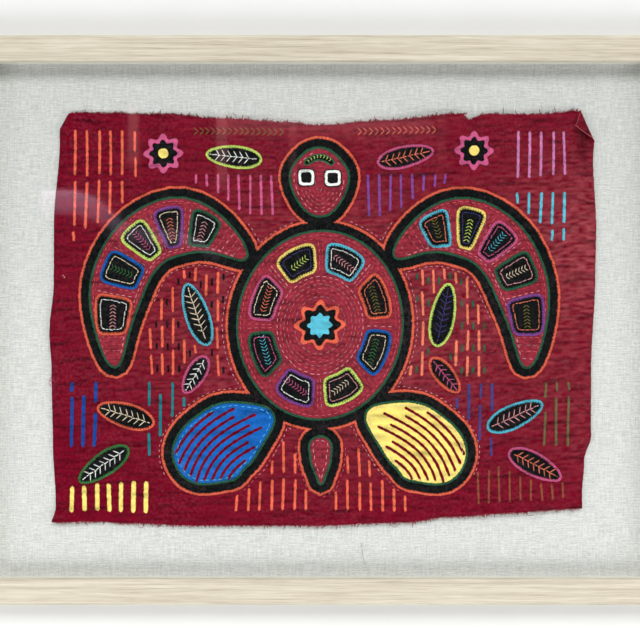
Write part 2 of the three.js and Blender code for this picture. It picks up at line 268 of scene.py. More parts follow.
def painted_crease_shade(x, y):
    """Factor on the dye: painted shade in valleys, painted light on crests, painted shadow below the dog-ear.
    """
    share = np.clip(1.1 + VALLEY_PAINTED_SHADE * (crease(x, y) + 0.5 * pucker(x, y)), PAINTED_SHADE_LOW, PAINTED_LIGHT_HIGH)
    for *place, lost in DOG_EAR_PAINTED_SHADOW:
        share = share * (1 - lost * hump(x, y, *place))
    return share


def rest(x, y, over=0):
    """Height of the ground cloth's top, as cloth that lies some way over it feels it."""
    bridged = 1 / (1 + STIFFENING * over)
    return CLOTH_BASE + GROUND_THICK + lie(x, y) + (pucker(x, y) + crease(x, y)) * bridged


# %% [markdown]
# ## Cotton and thread
# Every scrap of cotton here is the same plain weave in another dye. One function makes them all: the dye
# comes from an attribute of the mesh, two crossed waves make the weave, and slow noise fades the dye in
# places. Thread is brighter and smoother than cloth, with the twist of its strands as bump.

# %% Node helpers
# A wave texture of scale 1 has 20 bands in a length of two pi metres.
WAVE_TURN = 2 * math.pi / 20
# A Mix node has sockets for numbers, vectors and colours, and these are the ones for colours.
COLOUR_A, COLOUR_B, COLOUR_OUT = 6, 7, 2


def new_material(name):
    """A material, with its node tree and its surface shader."""
    item = bpy.data.materials.new(name)
    item.use_nodes = True
    tree = item.node_tree
    return item, tree, tree.nodes["Principled BSDF"]


def fill(tree, made, values):
    """Sets sockets of a node, or joins the outputs of other nodes to them."""
    for key, value in values.items():
        if isinstance(value, bpy.types.NodeSocket):
            tree.links.new(value, made.inputs[key])
        else:
            made.inputs[key].default_value = value
    return made


def node(tree, kind, values=None, **settings):
    """Adds a node, with settings for its options and values for its sockets."""
    made = tree.nodes.new(kind)
    for key, value in settings.items():
        setattr(made, key, value)
    return fill(tree, made, values or {})


def number(tree, operation, *values):
    """A Math node of one or two values."""
    return node(tree, "ShaderNodeMath", dict(enumerate(values)), operation=operation).outputs[0]


def blend(tree, share, low, high):
    """A Mix node for two colours."""
    values = {0: share, COLOUR_A: low, COLOUR_B: high}
    return node(tree, "ShaderNodeMix", values, data_type="RGBA").outputs[COLOUR_OUT]


def dimmed(tree, colour, share):
    """A colour times a number."""
    values = {0: colour, "Scale": share}
    return node(tree, "ShaderNodeVectorMath", values, operation="SCALE").outputs["Vector"]


def spread(tree, value, low, high, to_low=0.0, to_high=1.0):
    """A Map Range node."""
    values = {"Value": value, "From Min": low, "From Max": high, "To Min": to_low, "To Max": to_high}
    return node(tree, "ShaderNodeMapRange", values).outputs["Result"]


def object_place(tree):
    """The place of a point in its object, in metres."""
    return node(tree, "ShaderNodeTexCoord").outputs["Object"]


def drawn(tree, place, scale):
    """Places scaled along each axis: a pattern on them is long where the scale is small."""
    return node(tree, "ShaderNodeMapping", {"Vector": place, "Scale": scale}).outputs["Vector"]


def speckle(tree, place, scale, detail, **more):
    """Soft noise at some places."""
    values = {"Vector": place, "Scale": scale, "Detail": detail, **more}
    return node(tree, "ShaderNodeTexNoise", values).outputs["Fac"]


def waves(tree, place, pitch, distortion, detail=2.0, detail_scale=1.0, axis="X"):
    """Bands across one axis, with a pitch in millimetres."""
    values = {"Vector": place, "Scale": WAVE_TURN / (pitch * MM), "Distortion": distortion,
              "Detail": detail, "Detail Scale": detail_scale}
    return node(tree, "ShaderNodeTexWave", values, bands_direction=axis).outputs["Fac"]


def weave(tree, place, pitch, distortion, detail, detail_scale):
    """Height of a plain weave: two crossed waves of threads, each a little uneven."""
    threads = [waves(tree, place, pitch, distortion, detail, detail_scale, axis) for axis in "XY"]
    return number(tree, "MULTIPLY", *threads)


def bump(tree, height, strength, deep, over=None):
    """The normals of a relief, with its depth in millimetres, over another relief where one is given."""
    values = {"Height": height, "Strength": strength, "Distance": deep * MM}
    if over:
        values["Normal"] = over
    return node(tree, "ShaderNodeBump", values).outputs["Normal"]


def mesh_dye(tree):
    """The dye that the mesh carries."""
    return node(tree, "ShaderNodeAttribute", attribute_name="dye").outputs["Color"]


# %% Cotton and thread
WEAVE_PITCH, TWIST_PITCH, TWIST_TURN = 0.42, 0.3, 0.8
WORN_COTTON = (0.5, 0.28, 0.33, 1)


def cotton(name, fade=0.17, streaks=(70, 290, 70)):
    """Plain weave cotton, with its dye from the mesh, washed out in patches."""
    item, tree, surface = new_material(name)
    place = object_place(tree)
    streak = speckle(tree, drawn(tree, place, streaks), 1.0, 4.0)
    cloud = speckle(tree, place, 24.0, 3.0)
    grain = speckle(tree, place, 1100.0, 1.0)
    fuzz = speckle(tree, place, 420.0, 3.0, Roughness=0.6)
    threads = weave(tree, place, WEAVE_PITCH, 1.6, 1.0, 0.6)
    light = number(tree, "ADD", streak, number(tree, "MULTIPLY", fuzz, 0.7))
    shade = spread(tree, light, 0.6, 1.1, 1 - fade, 1 + fade)
    lit = number(tree, "MULTIPLY", shade, spread(tree, threads, 0, 1, 0.97, 1.12))
    patchy = spread(tree, cloud, 0.35, 0.7, 0.4, 1.4)
    wear = number(tree, "MULTIPLY", patchy, spread(tree, fuzz, 0.42, 0.72, 0.0, 0.05))
    worn = blend(tree, wear, dimmed(tree, mesh_dye(tree), lit), WORN_COTTON)
    normal = bump(tree, grain, 0.3, 0.2, over=bump(tree, threads, 0.25, 0.1))
    fill(tree, surface, {"Base Color": worn, "Normal": normal, "Roughness": 0.88, "Specular IOR Level": 0.04})
    return item


def thread_finish(name):
    """Twisted cotton thread, with its dye from the mesh."""
    item, tree, surface = new_material(name)
    turned = node(tree, "ShaderNodeMapping", {"Vector": object_place(tree), "Rotation": (0, 0, TWIST_TURN)})
    twist = waves(tree, turned.outputs["Vector"], TWIST_PITCH, 0.8)
    colour = dimmed(tree, mesh_dye(tree), spread(tree, twist, 0, 1, 0.8, 1.12))
    fill(tree, surface, {"Base Color": colour, "Normal": bump(tree, twist, 0.5, 0.08),
                         "Roughness": 0.62, "Specular IOR Level": 0.2})
    return item


COTTON = cotton("dyed_cotton")
QUILTED = cotton("quilted_cotton", fade=0.42, streaks=(150, 640, 150))
THREAD = thread_finish("sewing_thread")
print("finishes", COTTON.name, QUILTED.name, THREAD.name)

# %% [markdown]
# ## Dyes
# The dyes are given as screen colours and turned to linear light here, because shaders work in linear
# light. A small table keeps one name for each, and every piece of the panel asks for its dye by that name.

# %% Dyes
def linear(red, green, blue):
    """Linear light of a screen colour given from 0 to 255."""
    values = [c / 255 for c in (red, green, blue)]
    return np.array([c / 12.92 if c <= 0.04045 else ((c + 0.055) / 1.055) ** 2.4 for c in values])


DYES = {name: linear(*screen) for name, screen in {
    "maroon": (112, 2, 30), "wine": (142, 42, 57), "brick": (196, 66, 70), "orange": (234, 104, 78),
    "coral": (238, 126, 98), "salmon": (216, 98, 106), "pink": (208, 92, 138), "rose": (190, 60, 96),
    "purple": (132, 74, 150), "violet": (72, 62, 124), "blue": (18, 98, 182), "navy": (18, 68, 150),
    "sky": (92, 190, 214), "lilac": (198, 124, 172), "teal": (24, 122, 132), "green": (44, 96, 70),
    "leaf": (60, 122, 66), "lime": (204, 228, 112), "olive": (128, 116, 54), "yellow": (249, 224, 120),
    "blush": (228, 158, 164), "mauve": (166, 122, 124), "cream": (244, 224, 194), "white": (250, 250, 246),
    "brown": (144, 76, 54), "moss": (106, 102, 66), "black": (12, 18, 18), "grey": (140, 140, 146),
}.items()}
print("dyes", len(DYES))

# %% [markdown]
# ## From a shape to a finished piece
# Shapes are drawn in millimetres, so one helper turns a bmesh into an object in metres, gives it a material
# and lets it ride on the frame. Every vertex carries its dye.

# %% Finish a piece
WASHED_OUT = np.array((0.09, 0.03, 0.03))
MOTTLING, MOTTLE_WIDE, MOTTLE_HIGH = 2.0, 6, 2


def own(mesh, name, material, slot):
    """Makes an object of a mesh, with its finish, and lets it ride on the frame."""
    mesh.materials.append(material)
    mesh.shade_smooth()
    item = put(name, mesh)
    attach(item, "root")
    return item


def finish(bm, name, material, slot):
    """Makes a piece of a bmesh that was drawn in millimetres, and hands back its object."""
    bmesh.ops.scale(bm, vec=(MM, MM, MM), verts=bm.verts)
    return own(mesh_of(bm, name), name, material, slot)


def dye_layer(bm):
    """The layer of a bmesh that holds the dye of each vertex."""
    return bm.verts.layers.float_color.get("dye") or bm.verts.layers.float_color.new("dye")


def paint(bm, dye, wash=()):
    """Gives vertices one dye, washed out in places, with painted shade in valleys and painted light on
    crests.
    """
    layer = dye_layer(bm)
    x, y = np.array([vert.co.xy for vert in bm.verts]).T
    pale = 0 * x
    for *place, share in wash:
        pale = pale + share * hump(x, y, *place)
    if wash:
        cloud = np.array([noise.noise((a / MOTTLE_WIDE, b / MOTTLE_HIGH, 7)) for a, b in zip(x, y)])
        pale = pale * np.clip(1 + MOTTLING * cloud, 0, 2)
    # Painted shade in the valleys, painted light on the crests and the dog-ear's painted shadow scale the
    # dye.
    colours = (dye + np.outer(pale, WASHED_OUT)) * painted_crease_shade(x, y)[:, None]
    for vert, colour in zip(bm.verts, colours):
        vert[layer] = (*colour, 1)


# %% [markdown]
# ## The linen board
# The board is covered with undyed linen. Its threads are spun unevenly, so thick slubs run for a centimetre
# or two and fade out again, in both directions. The cover is a grid stretched over the board's face. The
# slubs are noise that is drawn out long in one direction for the warp and in the other for the weft.

# %% Linen
LINEN_CELL = 4.5
LINEN_THICK = 0.2
LINEN_OVER = 0.03
LINEN_SLUB, SLUB_LONG, SLUB_SHORT = 0.03, 30, 6
LINEN_PITCH = 0.62
LINEN_SLUBS = ((75, 1150, 1), (1150, 70, 1), (330, 1300, 1))
SLUB_SHARES = (0.36, 0.27, 0.37)
LINEN_HOLLOW, LINEN_CREST = (0.55, 0.55, 0.53, 1), (0.885, 0.865, 0.84, 1)
# Painted shade dims the linen up the panel, and painted light lifts it at its sides, where the side rails
# shade it: from, to, light there and light here.
LINEN_PAINTED_SHADE = (-0.02, 0.19, 1.0, 0.88)
LINEN_PAINTED_LIGHT = (0.236, 0.2475, 1.0, 1.07)


def linen_finish():
    """Slubby pale linen."""
    item, tree, surface = new_material("slubby_linen")
    place = object_place(tree)
    parts = []
    for scale, share in zip(LINEN_SLUBS, SLUB_SHARES):
        slub = speckle(tree, drawn(tree, place, scale), 1.0, 1.0, Roughness=0.6)
        parts.append(spread(tree, slub, 0.3, 0.7, 0.0, share))
    slub = number(tree, "ADD", number(tree, "ADD", parts[0], parts[1]), parts[2])
    threads = weave(tree, place, LINEN_PITCH, 2.2, 2.0, 0.5)
    fine = spread(tree, threads, 0, 1, -0.04, 0.04)
    spun = number(tree, "ADD", spread(tree, slub, 0.2, 0.8, 0.1, 0.9), fine)
    # Painted shade up the panel and painted light at its sides, set by the place on the board.
    apart = node(tree, "ShaderNodeSeparateXYZ", {0: place})
    painted_shade_up = spread(tree, apart.outputs["Y"], *LINEN_PAINTED_SHADE)
    painted_light_at_sides = spread(tree, number(tree, "ABSOLUTE", apart.outputs["X"]), *LINEN_PAINTED_LIGHT)
    share = number(tree, "MULTIPLY", painted_shade_up, painted_light_at_sides)
    colour = dimmed(tree, blend(tree, spun, LINEN_HOLLOW, LINEN_CREST), share)
    high = number(tree, "ADD", number(tree, "MULTIPLY", slub, 0.8), number(tree, "MULTIPLY", threads, 0.4))
    fill(tree, surface, {"Base Color": colour, "Normal": bump(tree, high, 0.6, 0.25), "Roughness": 0.9,
                         "Specular IOR Level": 0.2, "Sheen Weight": 0.1})
    return item


def linen_cover():
    """The linen over the board's face."""
    low, high = (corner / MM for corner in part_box("linen_board"))
    wide, tall = high.x - low.x - 2 * LINEN_THICK, high.y - low.y - 2 * LINEN_THICK
    bm = bmesh.new()
    cells = [round(side / LINEN_CELL) for side in (wide, tall)]
    bmesh.ops.create_grid(bm, x_segments=cells[0], y_segments=cells[1], size=0.5)
    bmesh.ops.scale(bm, vec=(wide, tall, 1), verts=bm.verts)
    for vert in bm.verts:
        x, y, _ = vert.co
        slub = noise.noise((x / SLUB_LONG, y / SLUB_SHORT, 0))
        slub = slub + noise.noise((x / SLUB_SHORT, y / SLUB_LONG, 9))
        vert.co.z = high.z + LINEN_OVER + LINEN_SLUB * (slub + 1)
    bmesh.ops.solidify(bm, geom=bm.faces[:], thickness=-LINEN_THICK / 2)
    bmesh.ops.recalc_face_normals(bm, faces=bm.faces[:])
    return finish(bm, "linen_cover", linen_finish(), "linen")


linen = linen_cover()
print("linen faces", len(linen.data.polygons))

# %% [markdown]
# ## The ground cloth
# The maroon ground is one grid of small cells. Each vertex is sent to its place between the four edges, then
# the top right corner is rolled over a round fold line, which is how a dog-ear forms. Cuts through the grid
# beside the fold give it enough edges to bend. The worn corner and the short tear only pull the edge in.

# %% Ground cloth
GROUND_CELLS = (140, 300)
GROUND_WASH = (
    # middle x and y, half width, half height, share
    (212, 60, 75, 72, 1.0),
    (208, -80, 50, 60, 0.35),
    (20, 158, 110, 24, 0.3),
    (10, 0, 132, 98, 1.05),
)
GROUND_LOW = 0.1
FOLD_TOP, FOLD_BOTTOM = Vector((199.3, 160.5)), Vector((210.1, 137.0))
FOLD_RADIUS, FOLD_LIFT = 1.0, 0.2
FOLD_CUTS, FOLD_REACH = (0, 0.8, 1.6, 2.4, 3.2), 45
WORN_TOP, WORN_LOW = Vector((-192, 160.2)), Vector((-200.4, 146))
WORN_PULL, WORN_LIFT = 0.92, 0.12
TEAR = ((106.4, 0), (107.6, 5.2), (113, 3.1), (120, 0))
FRAY_ACROSS, FRAY_UP, FRAY_LONG = 0.22, 0.6, 2.2


def spot(share, climb):
    """Point of the cloth, from its share along the cloth and up it."""
    level = PANEL["bottom"] + (PANEL["top"] - PANEL["bottom"]) * climb
    run = PANEL["left"] + (PANEL["right"] - PANEL["left"]) * share
    left, right = along(LEFT_EDGE, level), along(RIGHT_EDGE, level)
    low = along(BOTTOM_EDGE, run)
    high = along(TOP_EDGE, run) - np.interp(run, *np.array(TEAR).T, left=0, right=0)
    return left + (right - left) * share, low + (high - low) * climb


def beyond(line_from, line_to, point):
    """How far a point lies beyond a line, and the outward direction."""
    run = (line_to - line_from).normalized()
    out = Vector((-run.y, run.x))
    return (Vector(point) - line_from).dot(out), out


def roll_over(point):
    """Bends a point beyond the fold line round a small radius and back over: its place and its rise."""
    far, out = beyond(FOLD_TOP, FOLD_BOTTOM, point)
    if far <= 0:
        return point, 0
    turn = min(far / FOLD_RADIUS, math.pi)
    back = far - FOLD_RADIUS * turn
    flat = point - out * far + out * (FOLD_RADIUS * math.sin(turn) - back)
    return flat, FOLD_RADIUS * (1 - math.cos(turn)) + back * FOLD_LIFT


def ground_cloth():
    """The maroon cotton, with its soft folds, its dog-ear, its worn corner and its tear."""
    bm = bmesh.new()
    bmesh.ops.create_grid(bm, x_segments=GROUND_CELLS[0], y_segments=GROUND_CELLS[1], size=0.5)
    shares = np.array([vert.co.xy for vert in bm.verts]) + 0.5
    for vert, x, y in zip(bm.verts, *spot(*shares.T)):
        vert.co = (x, y, 0)
    out = beyond(FOLD_TOP, FOLD_BOTTOM, FOLD_TOP)[1]
    for cut in FOLD_CUTS:
        corner = [f for f in bm.faces if (f.calc_center_median().xy - FOLD_TOP).length < FOLD_REACH]
        geom = list({v for f in corner for v in f.verts}) + list({e for f in corner for e in f.edges})
        line = FOLD_TOP + out * cut
        bmesh.ops.bisect_plane(bm, geom=geom + corner, plane_co=(*line, 0), plane_no=(*out, 0), dist=1e-4)
    places = np.array([vert.co.xy for vert in bm.verts])
    for vert, high in zip(bm.verts, rest(*places.T)):
        vert.co.z = high
        far, side = beyond(WORN_LOW, WORN_TOP, vert.co.xy)
        if far > 0:
            vert.co.xy = vert.co.xy - side * far * WORN_PULL
            vert.co.z += WORN_LIFT * far
        flat, rise = roll_over(vert.co.xy)
        vert.co = (*flat, vert.co.z + rise)
    for vert in [v for v in bm.verts if v.is_boundary]:
        shift = noise.noise_vector((vert.co.x / FRAY_LONG, vert.co.y / FRAY_LONG, 3))
        vert.co.x += FRAY_ACROSS * shift.x
        vert.co.y += FRAY_UP * shift.y
    bmesh.ops.solidify(bm, geom=bm.faces[:], thickness=GROUND_THICK - GROUND_LOW)
    bmesh.ops.recalc_face_normals(bm, faces=bm.faces[:])
    paint(bm, DYES["maroon"], GROUND_WASH)
    return finish(bm, "ground_cloth_sheet", COTTON, "ground_cotton")


ground = ground_cloth()
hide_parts("ground_cloth")
tops = [v.co.z / MM for v in ground.data.vertices]
print("ground cloth: faces", len(ground.data.polygons), "top at", round(max(tops), 2))

# %% [markdown]
# ## Drawing the outlines
# The figure is a sea turtle seen from above, with leaves and flowers round it. A limb is a width that
# follows a curved route, which gives its outline, the rows of stitches along it and the places of its cells
# from the same few numbers. A little wander in every outline keeps the unevenness of hand work.

# %% Outlines
WANDER, WANDER_LONG = 0.7, 27
DENT_PITCH, DENT_DEEP, SWAY_DEEP = 1.5, 0.13, 0.12
BLACK_BAND, ORANGE_BAND, GREEN_BAND = 8.0, 10.0, 1.8
SHELL = dict(middle=(0, -4), across=62, up=72)
FORE_ROUTE = ((58, 48), (112, 100), (170, 62), (158, -36))
FORE_WIDTHS = ((0, 13), (0.35, 22), (0.75, 21), (1, 15))
HIND_ROUTE = ((37, -72), (62, -84), (88, -92), (95, -124))
HIND_WIDTHS = ((0, 14), (0.5, 26), (0.85, 29), (1, 26))
HEAD_ROUTE = ((0, 81), (0, 96), (0, 114), (0, 132))
HEAD_WIDTHS = ((0, 14), (0.6, 22), (1, 16))
TAIL_ROUTE = ((0, -91), (0, -100), (0, -112), (0, -126))
TAIL_WIDTHS = ((0, 11), (0.5, 7), (1, 3))
ROUND_END, POINTED_END = 3.4, 2.0
OUTLINE_STEPS = 30


def by_hand(points):
    """The uneven line of hand work."""
    x, y = np.array(points, float).T
    return np.column_stack((x + WANDER * np.sin(y / WANDER_LONG + x / WANDER_LONG / 2),
                            y + WANDER * np.sin(x / WANDER_LONG - y / WANDER_LONG / 3)))


def walked(path, closed):
    """A path as an array, which comes back to its start if it is closed."""
    path = np.array(path, float)
    return np.concatenate((path, path[:1])) if closed else path


def paced(path, places, closed=False):
    """Points of a path at given distances along it."""
    path = walked(path, closed)
    far = np.concatenate(([0], np.cumsum(np.linalg.norm(np.diff(path, axis=0), axis=1))))
    places = np.mod(places, far[-1]) if closed else places
    return np.column_stack([np.interp(places, far, path[:, i]) for i in (0, 1)])


def length_of(path, closed=False):
    """Length of a path."""
    return float(np.linalg.norm(np.diff(walked(path, closed), axis=0), axis=1).sum())


def unit(runs):
    """Runs brought to a length of 1."""
    return runs / np.linalg.norm(runs, axis=1)[:, None]


def left_of(runs):
    """Directions to the left of some runs."""
    return np.column_stack((-runs[:, 1], runs[:, 0]))


def grown(outline, by):
    """An outline moved outwards by a distance."""
    outline = np.array(outline, float)
    return outline - by * left_of(unit(np.roll(outline, -1, 0) - np.roll(outline, 1, 0)))


def hand_cut(outline):
    """A closed outline with the small dents that a hand-turned edge has."""
    outline = by_hand(outline)
    whole = length_of(outline, True)
    count = max(12, round(whole / DENT_PITCH))
    points = paced(outline, np.arange(count) * whole / count, True)
    x, y = points.T
    dent = DENT_DEEP * (np.sin(2.3 * x + 1.7 * y) + np.sin(1.1 * x - 2.9 * y))
    dent = dent + SWAY_DEEP * np.sin(0.61 * x + 0.83 * y)
    return grown(points, dent[:, None])


def mirrored(points):
    """An outline on the other side of the panel."""
    return (np.array(points, float) * (-1, 1))[::-1]


def on_route(route, at):
    """Points and directions on a cubic Bezier route."""
    p = np.array(route, float)
    t = np.atleast_1d(at)[:, None]
    point = p[0] * (1 - t) ** 3 + 3 * p[1] * t * (1 - t) ** 2 + 3 * p[2] * t * t * (1 - t) + p[3] * t ** 3
    run = (p[1] - p[0]) * (1 - t) ** 2 + 2 * (p[2] - p[1]) * t * (1 - t) + (p[3] - p[2]) * t * t
    return point, unit(run)


def beside(route, at, out):
    """Points beside a route, plus to the left of its run."""
    point, run = on_route(route, at)
    return point + np.atleast_1d(out)[:, None] * left_of(run)


def eased(steps):
    """Shares of a route that lie close together at both ends, where an outline turns."""
    return (1 - np.cos(np.pi * np.arange(steps + 1) / steps)) / 2


def taper(at, power):
    """Width of a round-ended limb at a share of its route: the higher the power, the blunter its ends."""
    return np.sqrt(np.clip(1 - np.abs(2 * at - 1) ** power, 0, 1))


def both_sides(route, at, half):
    """Outline along one side of a route and back along the other."""
    return np.concatenate((beside(route, at, -half), beside(route, at, half)[::-1][1:-1]))


def limb(route, widths, power, steps=OUTLINE_STEPS):
    """Outline of a limb or leaf round a route."""
    at = eased(steps)
    return both_sides(route, at, along(widths, at) * taper(at, power))


def ellipse(middle, across, up, steps=2 * OUTLINE_STEPS):
    """Outline of an ellipse."""
    turn = 2 * np.pi * np.arange(steps) / steps
    return np.column_stack((middle[0] + across * np.cos(turn), middle[1] + up * np.sin(turn)))


fore, hind = limb(FORE_ROUTE, FORE_WIDTHS, ROUND_END), limb(HIND_ROUTE, HIND_WIDTHS, ROUND_END)
FIELDS = {
    "shell_field": ellipse(SHELL["middle"], SHELL["across"], SHELL["up"]),
    "head_field": limb(HEAD_ROUTE, HEAD_WIDTHS, ROUND_END),
    "tail_field": limb(TAIL_ROUTE, TAIL_WIDTHS, POINTED_END, OUTLINE_STEPS // 2),
    "right_front_flipper": fore,
    "left_front_flipper": mirrored(fore),
    "right_hind_flipper": hind,
    "left_hind_flipper": mirrored(hind),
}
print("fields", len(FIELDS), "front flipper", round(length_of(fore, True)), "mm round")

# %% [markdown]
# The black layer and its orange edging run round the whole figure as one piece, so the seven outlines, moved
# out by the width of the band, have to become one. Each is extruded to a flat prism and a Boolean modifier
# joins them. Walking round the edge of the joined top face gives the new outline.

# %% One outline of many
def prism_object(outline, name):
    """A thin prism with an outline, for the Boolean modifier."""
    bm = bmesh.new()
    face = bm.faces.new([bm.verts.new((*point, 0)) for point in outline])
    lifted = bmesh.ops.extrude_face_region(bm, geom=[face])
    top = [g for g in lifted["geom"] if isinstance(g, bmesh.types.BMVert)]
    bmesh.ops.translate(bm, vec=(0, 0, 1), verts=top)
    bmesh.ops.recalc_face_normals(bm, faces=bm.faces[:])
    return bpy.data.objects.new(name, mesh_of(bm, name))


def joined_outline(outlines):
    """The outline of several shapes joined, as points in order."""
    parts = [prism_object(outline, f"prism_{i}") for i, outline in enumerate(outlines)]
    holder = bpy.data.collections.new("prisms")
    bpy.context.scene.collection.children.link(holder)
    for part in parts:
        holder.objects.link(part)
    others = bpy.data.collections.new("other_prisms")
    for part in parts[1:]:
        others.objects.link(part)
    union = parts[0].modifiers.new("union", "BOOLEAN")
    union.operation, union.solver = "UNION", "EXACT"
    union.operand_type, union.collection = "COLLECTION", others
    result = parts[0].evaluated_get(bpy.context.evaluated_depsgraph_get()).to_mesh()
    bm = bmesh.new()
    bm.from_mesh(result)
    walls = [f for f in bm.faces if f.normal.z < 0.9 or f.calc_center_median().z < 0.5]
    bmesh.ops.delete(bm, geom=walls, context="FACES")
    rim = [e for e in bm.edges if e.is_boundary]
    start = min((v for e in rim for v in e.verts), key=lambda v: (v.co.y, v.co.x))
    path, edge = [start], None
    while len(path) < 2 or path[-1] is not start:
        edge = next(e for e in path[-1].link_edges if e.is_boundary and e is not edge
                    and (len(path) > 1 or e.other_vert(start).co.x > start.co.x))
        path.append(edge.other_vert(path[-1]))
    points = np.array([v.co.xy for v in path[:-1]])
    bm.free()
    for part in parts:
        bpy.data.objects.remove(part)
    for group in (holder, others):
        bpy.data.collections.remove(group)
    return points


def round_figure(out):
    """One outline round the whole figure, a distance out from its fields."""
    return joined_outline([hand_cut(grown(outline, out)) for outline in FIELDS.values()])


EDGING_OUTLINE, BLACK_OUTLINE = round_figure(ORANGE_BAND), round_figure(BLACK_BAND)
print("edging outline points", len(EDGING_OUTLINE), "black outline points", len(BLACK_OUTLINE))

# %% [markdown]
# ## Sewing a patch
# A patch of cotton starts as one face with its outline. Planes cut it into small cells, so that it can
# follow the cloth under it. It is extruded to its thickness, its upper rim is bevelled into the soft turned
# edge of needle work, and it is dropped onto the cloth. The same helper serves a large layer and a bar a few
# millimetres wide.

# %% Patches
PATCH_CELL = 3.2
TURNED_EDGE, MOST_TURNED = 0.32, 0.8


def sew(bm, outline, low, high, dye, turned=TURNED_EDGE, cell=PATCH_CELL):
    """Adds a patch to a bmesh, from one height to another above the ground cloth, in millimetres."""
    part = bmesh.new()
    part.faces.new([part.verts.new((*point, 0)) for point in outline])
    for axis in (0, 1):
        first, last = outline[:, axis].min(), outline[:, axis].max()
        for line in np.arange(math.ceil(first / cell) * cell, last, cell):
            plane = [0, 0, 0]
            plane[axis] = 1
            bmesh.ops.bisect_plane(part, geom=part.verts[:] + part.edges[:] + part.faces[:], dist=1e-3,
                                   plane_co=[line * c for c in plane], plane_no=plane)
    lifted = bmesh.ops.extrude_face_region(part, geom=part.faces[:])["geom"]
    top = [g for g in lifted if isinstance(g, bmesh.types.BMVert)]
    bmesh.ops.translate(part, vec=(0, 0, high - low), verts=top)
    bmesh.ops.recalc_face_normals(part, faces=part.faces[:])
    if turned:
        upper = set(top)
        rim = [e for e in part.edges if all(v in upper for v in e.verts)
               and any(abs(f.normal.z) < 0.5 for f in e.link_faces)]
        bmesh.ops.bevel(part, geom=rim, offset=min(turned, MOST_TURNED * (high - low)), segments=2,
                        affect="EDGES", profile=0.5, material=-1, clamp_overlap=True)
    places = np.array([v.co.xy for v in part.verts])
    for vert, level in zip(part.verts, rest(*places.T, high)):
        vert.co.z += level + low
    paint(part, dye)
    held = mesh_of(part, "held")
    dye_layer(bm)
    bm.from_mesh(held)
    bpy.data.meshes.remove(held)


def patch(name, layers):
    """A piece of scraps sewn over each other, in the place of a frame solid."""
    bm = bmesh.new()
    for outline, low, high, dye in layers:
        sew(bm, hand_cut(outline), low, high, dye)
    item = finish(bm, name + "_patch", COTTON, "colour_cotton")
    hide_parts(name)


def flat_area(outline):
    """Area inside an outline, in square metres."""
    x, y = np.array(outline).T
    return abs(np.dot(x, np.roll(y, -1)) - np.dot(y, np.roll(x, -1))) / 2 * MM * MM


def sheet_of(outline):
    """Measures a patch's outline, its width, its height and its area, and keeps none of them."""
    wide, tall = np.ptp(np.array(outline), axis=0) * MM
    float(flat_area(outline))


# %% [markdown]
# ## The figure's layers
# Orange edging lies lowest, black over it, and on the black lie the fields, each on a green edge that shows
# as a thin line all round. In the real panel the layers show at the cut edges in the same way.

# %% Layers of the figure
EDGING_TOP, BLACK_TOP, GREEN_TOP, FIELD_TOP = 0.75, 1.0, 1.6, 1.95
GROUND_LEVEL, RIM_LEVEL, GREEN_SUNK = 0.05, 0.4, 0.2
# Painted shade: the coloured rims that whip stitches hold are dyed darker, so that the stitches on them look
# lit.
RIM_PAINTED_SHADE = 0.8
FIELD_DYES = {"left_hind_flipper": "blue", "right_hind_flipper": "yellow"}

bm = bmesh.new()
sew(bm, EDGING_OUTLINE, GROUND_LEVEL, EDGING_TOP, RIM_PAINTED_SHADE * DYES["orange"])
edging = finish(bm, "orange_edging_layer", COTTON, "colour_cotton")
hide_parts("orange_edging")
sheet_of(EDGING_OUTLINE)

bm = bmesh.new()
sew(bm, BLACK_OUTLINE, RIM_LEVEL, BLACK_TOP, DYES["black"])
black = finish(bm, "black_layer_sheet", COTTON, "black_cotton")
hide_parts("black_layer")
sheet_of(BLACK_OUTLINE)

bm = bmesh.new()
for outline in FIELDS.values():
    outline = hand_cut(grown(outline, GREEN_BAND))
    sew(bm, outline, BLACK_TOP - GREEN_SUNK, GREEN_TOP, RIM_PAINTED_SHADE * DYES["green"])
finish(bm, "green_edges", COTTON, "colour_cotton")

for name, outline in FIELDS.items():
    bm = bmesh.new()
    outline = hand_cut(outline)
    sew(bm, outline, BLACK_TOP, FIELD_TOP, DYES[FIELD_DYES.get(name, "wine")])
    look_and_slot = (COTTON, "colour_cotton") if name in FIELD_DYES else (QUILTED, "ground_cotton")
    field = finish(bm, name + "_sheet", *look_and_slot)
    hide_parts(name)
    sheet_of(outline)

# %% [markdown]
# ## Cells
# Each cell is a coloured scrap with a smaller black one on it, so that the colour shows as a rim. On the
# shell they stand round the middle like scutes, and on the front flippers they follow the route.

# %% Cells
CELL_RIM, CELL_SHARE, CELL_SQUARE = 2.3, 0.8, 5
CELL_LOW, CELL_TOP, HEART_TOP = 1.75, 2.45, 2.75
SHELL_CELLS, CELL_INNER, CELL_OUTER = 8, 0.56, 0.9
FLIPPER_CELLS, FLIPPER_FROM, FLIPPER_TO, FLIPPER_FILL = 5, 0.12, 0.93, 0.74
FLIPPER_SPAN = (FLIPPER_TO - FLIPPER_FROM) / FLIPPER_CELLS
CELL_DYES = ("orange", "sky", "yellow", "pink", "green", "purple", "lime", "blue")


def cell_walk(steps=5):
    """Shares round a rounded square, with points enough to bend."""
    turn = 2 * np.pi * (np.arange(8 * steps) + 0.5) / (8 * steps)
    c, s = np.cos(turn), np.sin(turn)
    size = 0.5 / (np.abs(c) ** CELL_SQUARE + np.abs(s) ** CELL_SQUARE) ** (1 / CELL_SQUARE)
    return 0.5 + size * c, 0.5 + size * s


def on_shell(reach, turn):
    """Points at some shares of the shell's size, in some directions from its middle."""
    x, y = SHELL["middle"]
    across, up = SHELL["across"] * reach, SHELL["up"] * reach
    return np.column_stack((x + across * np.cos(turn), y + up * np.sin(turn)))


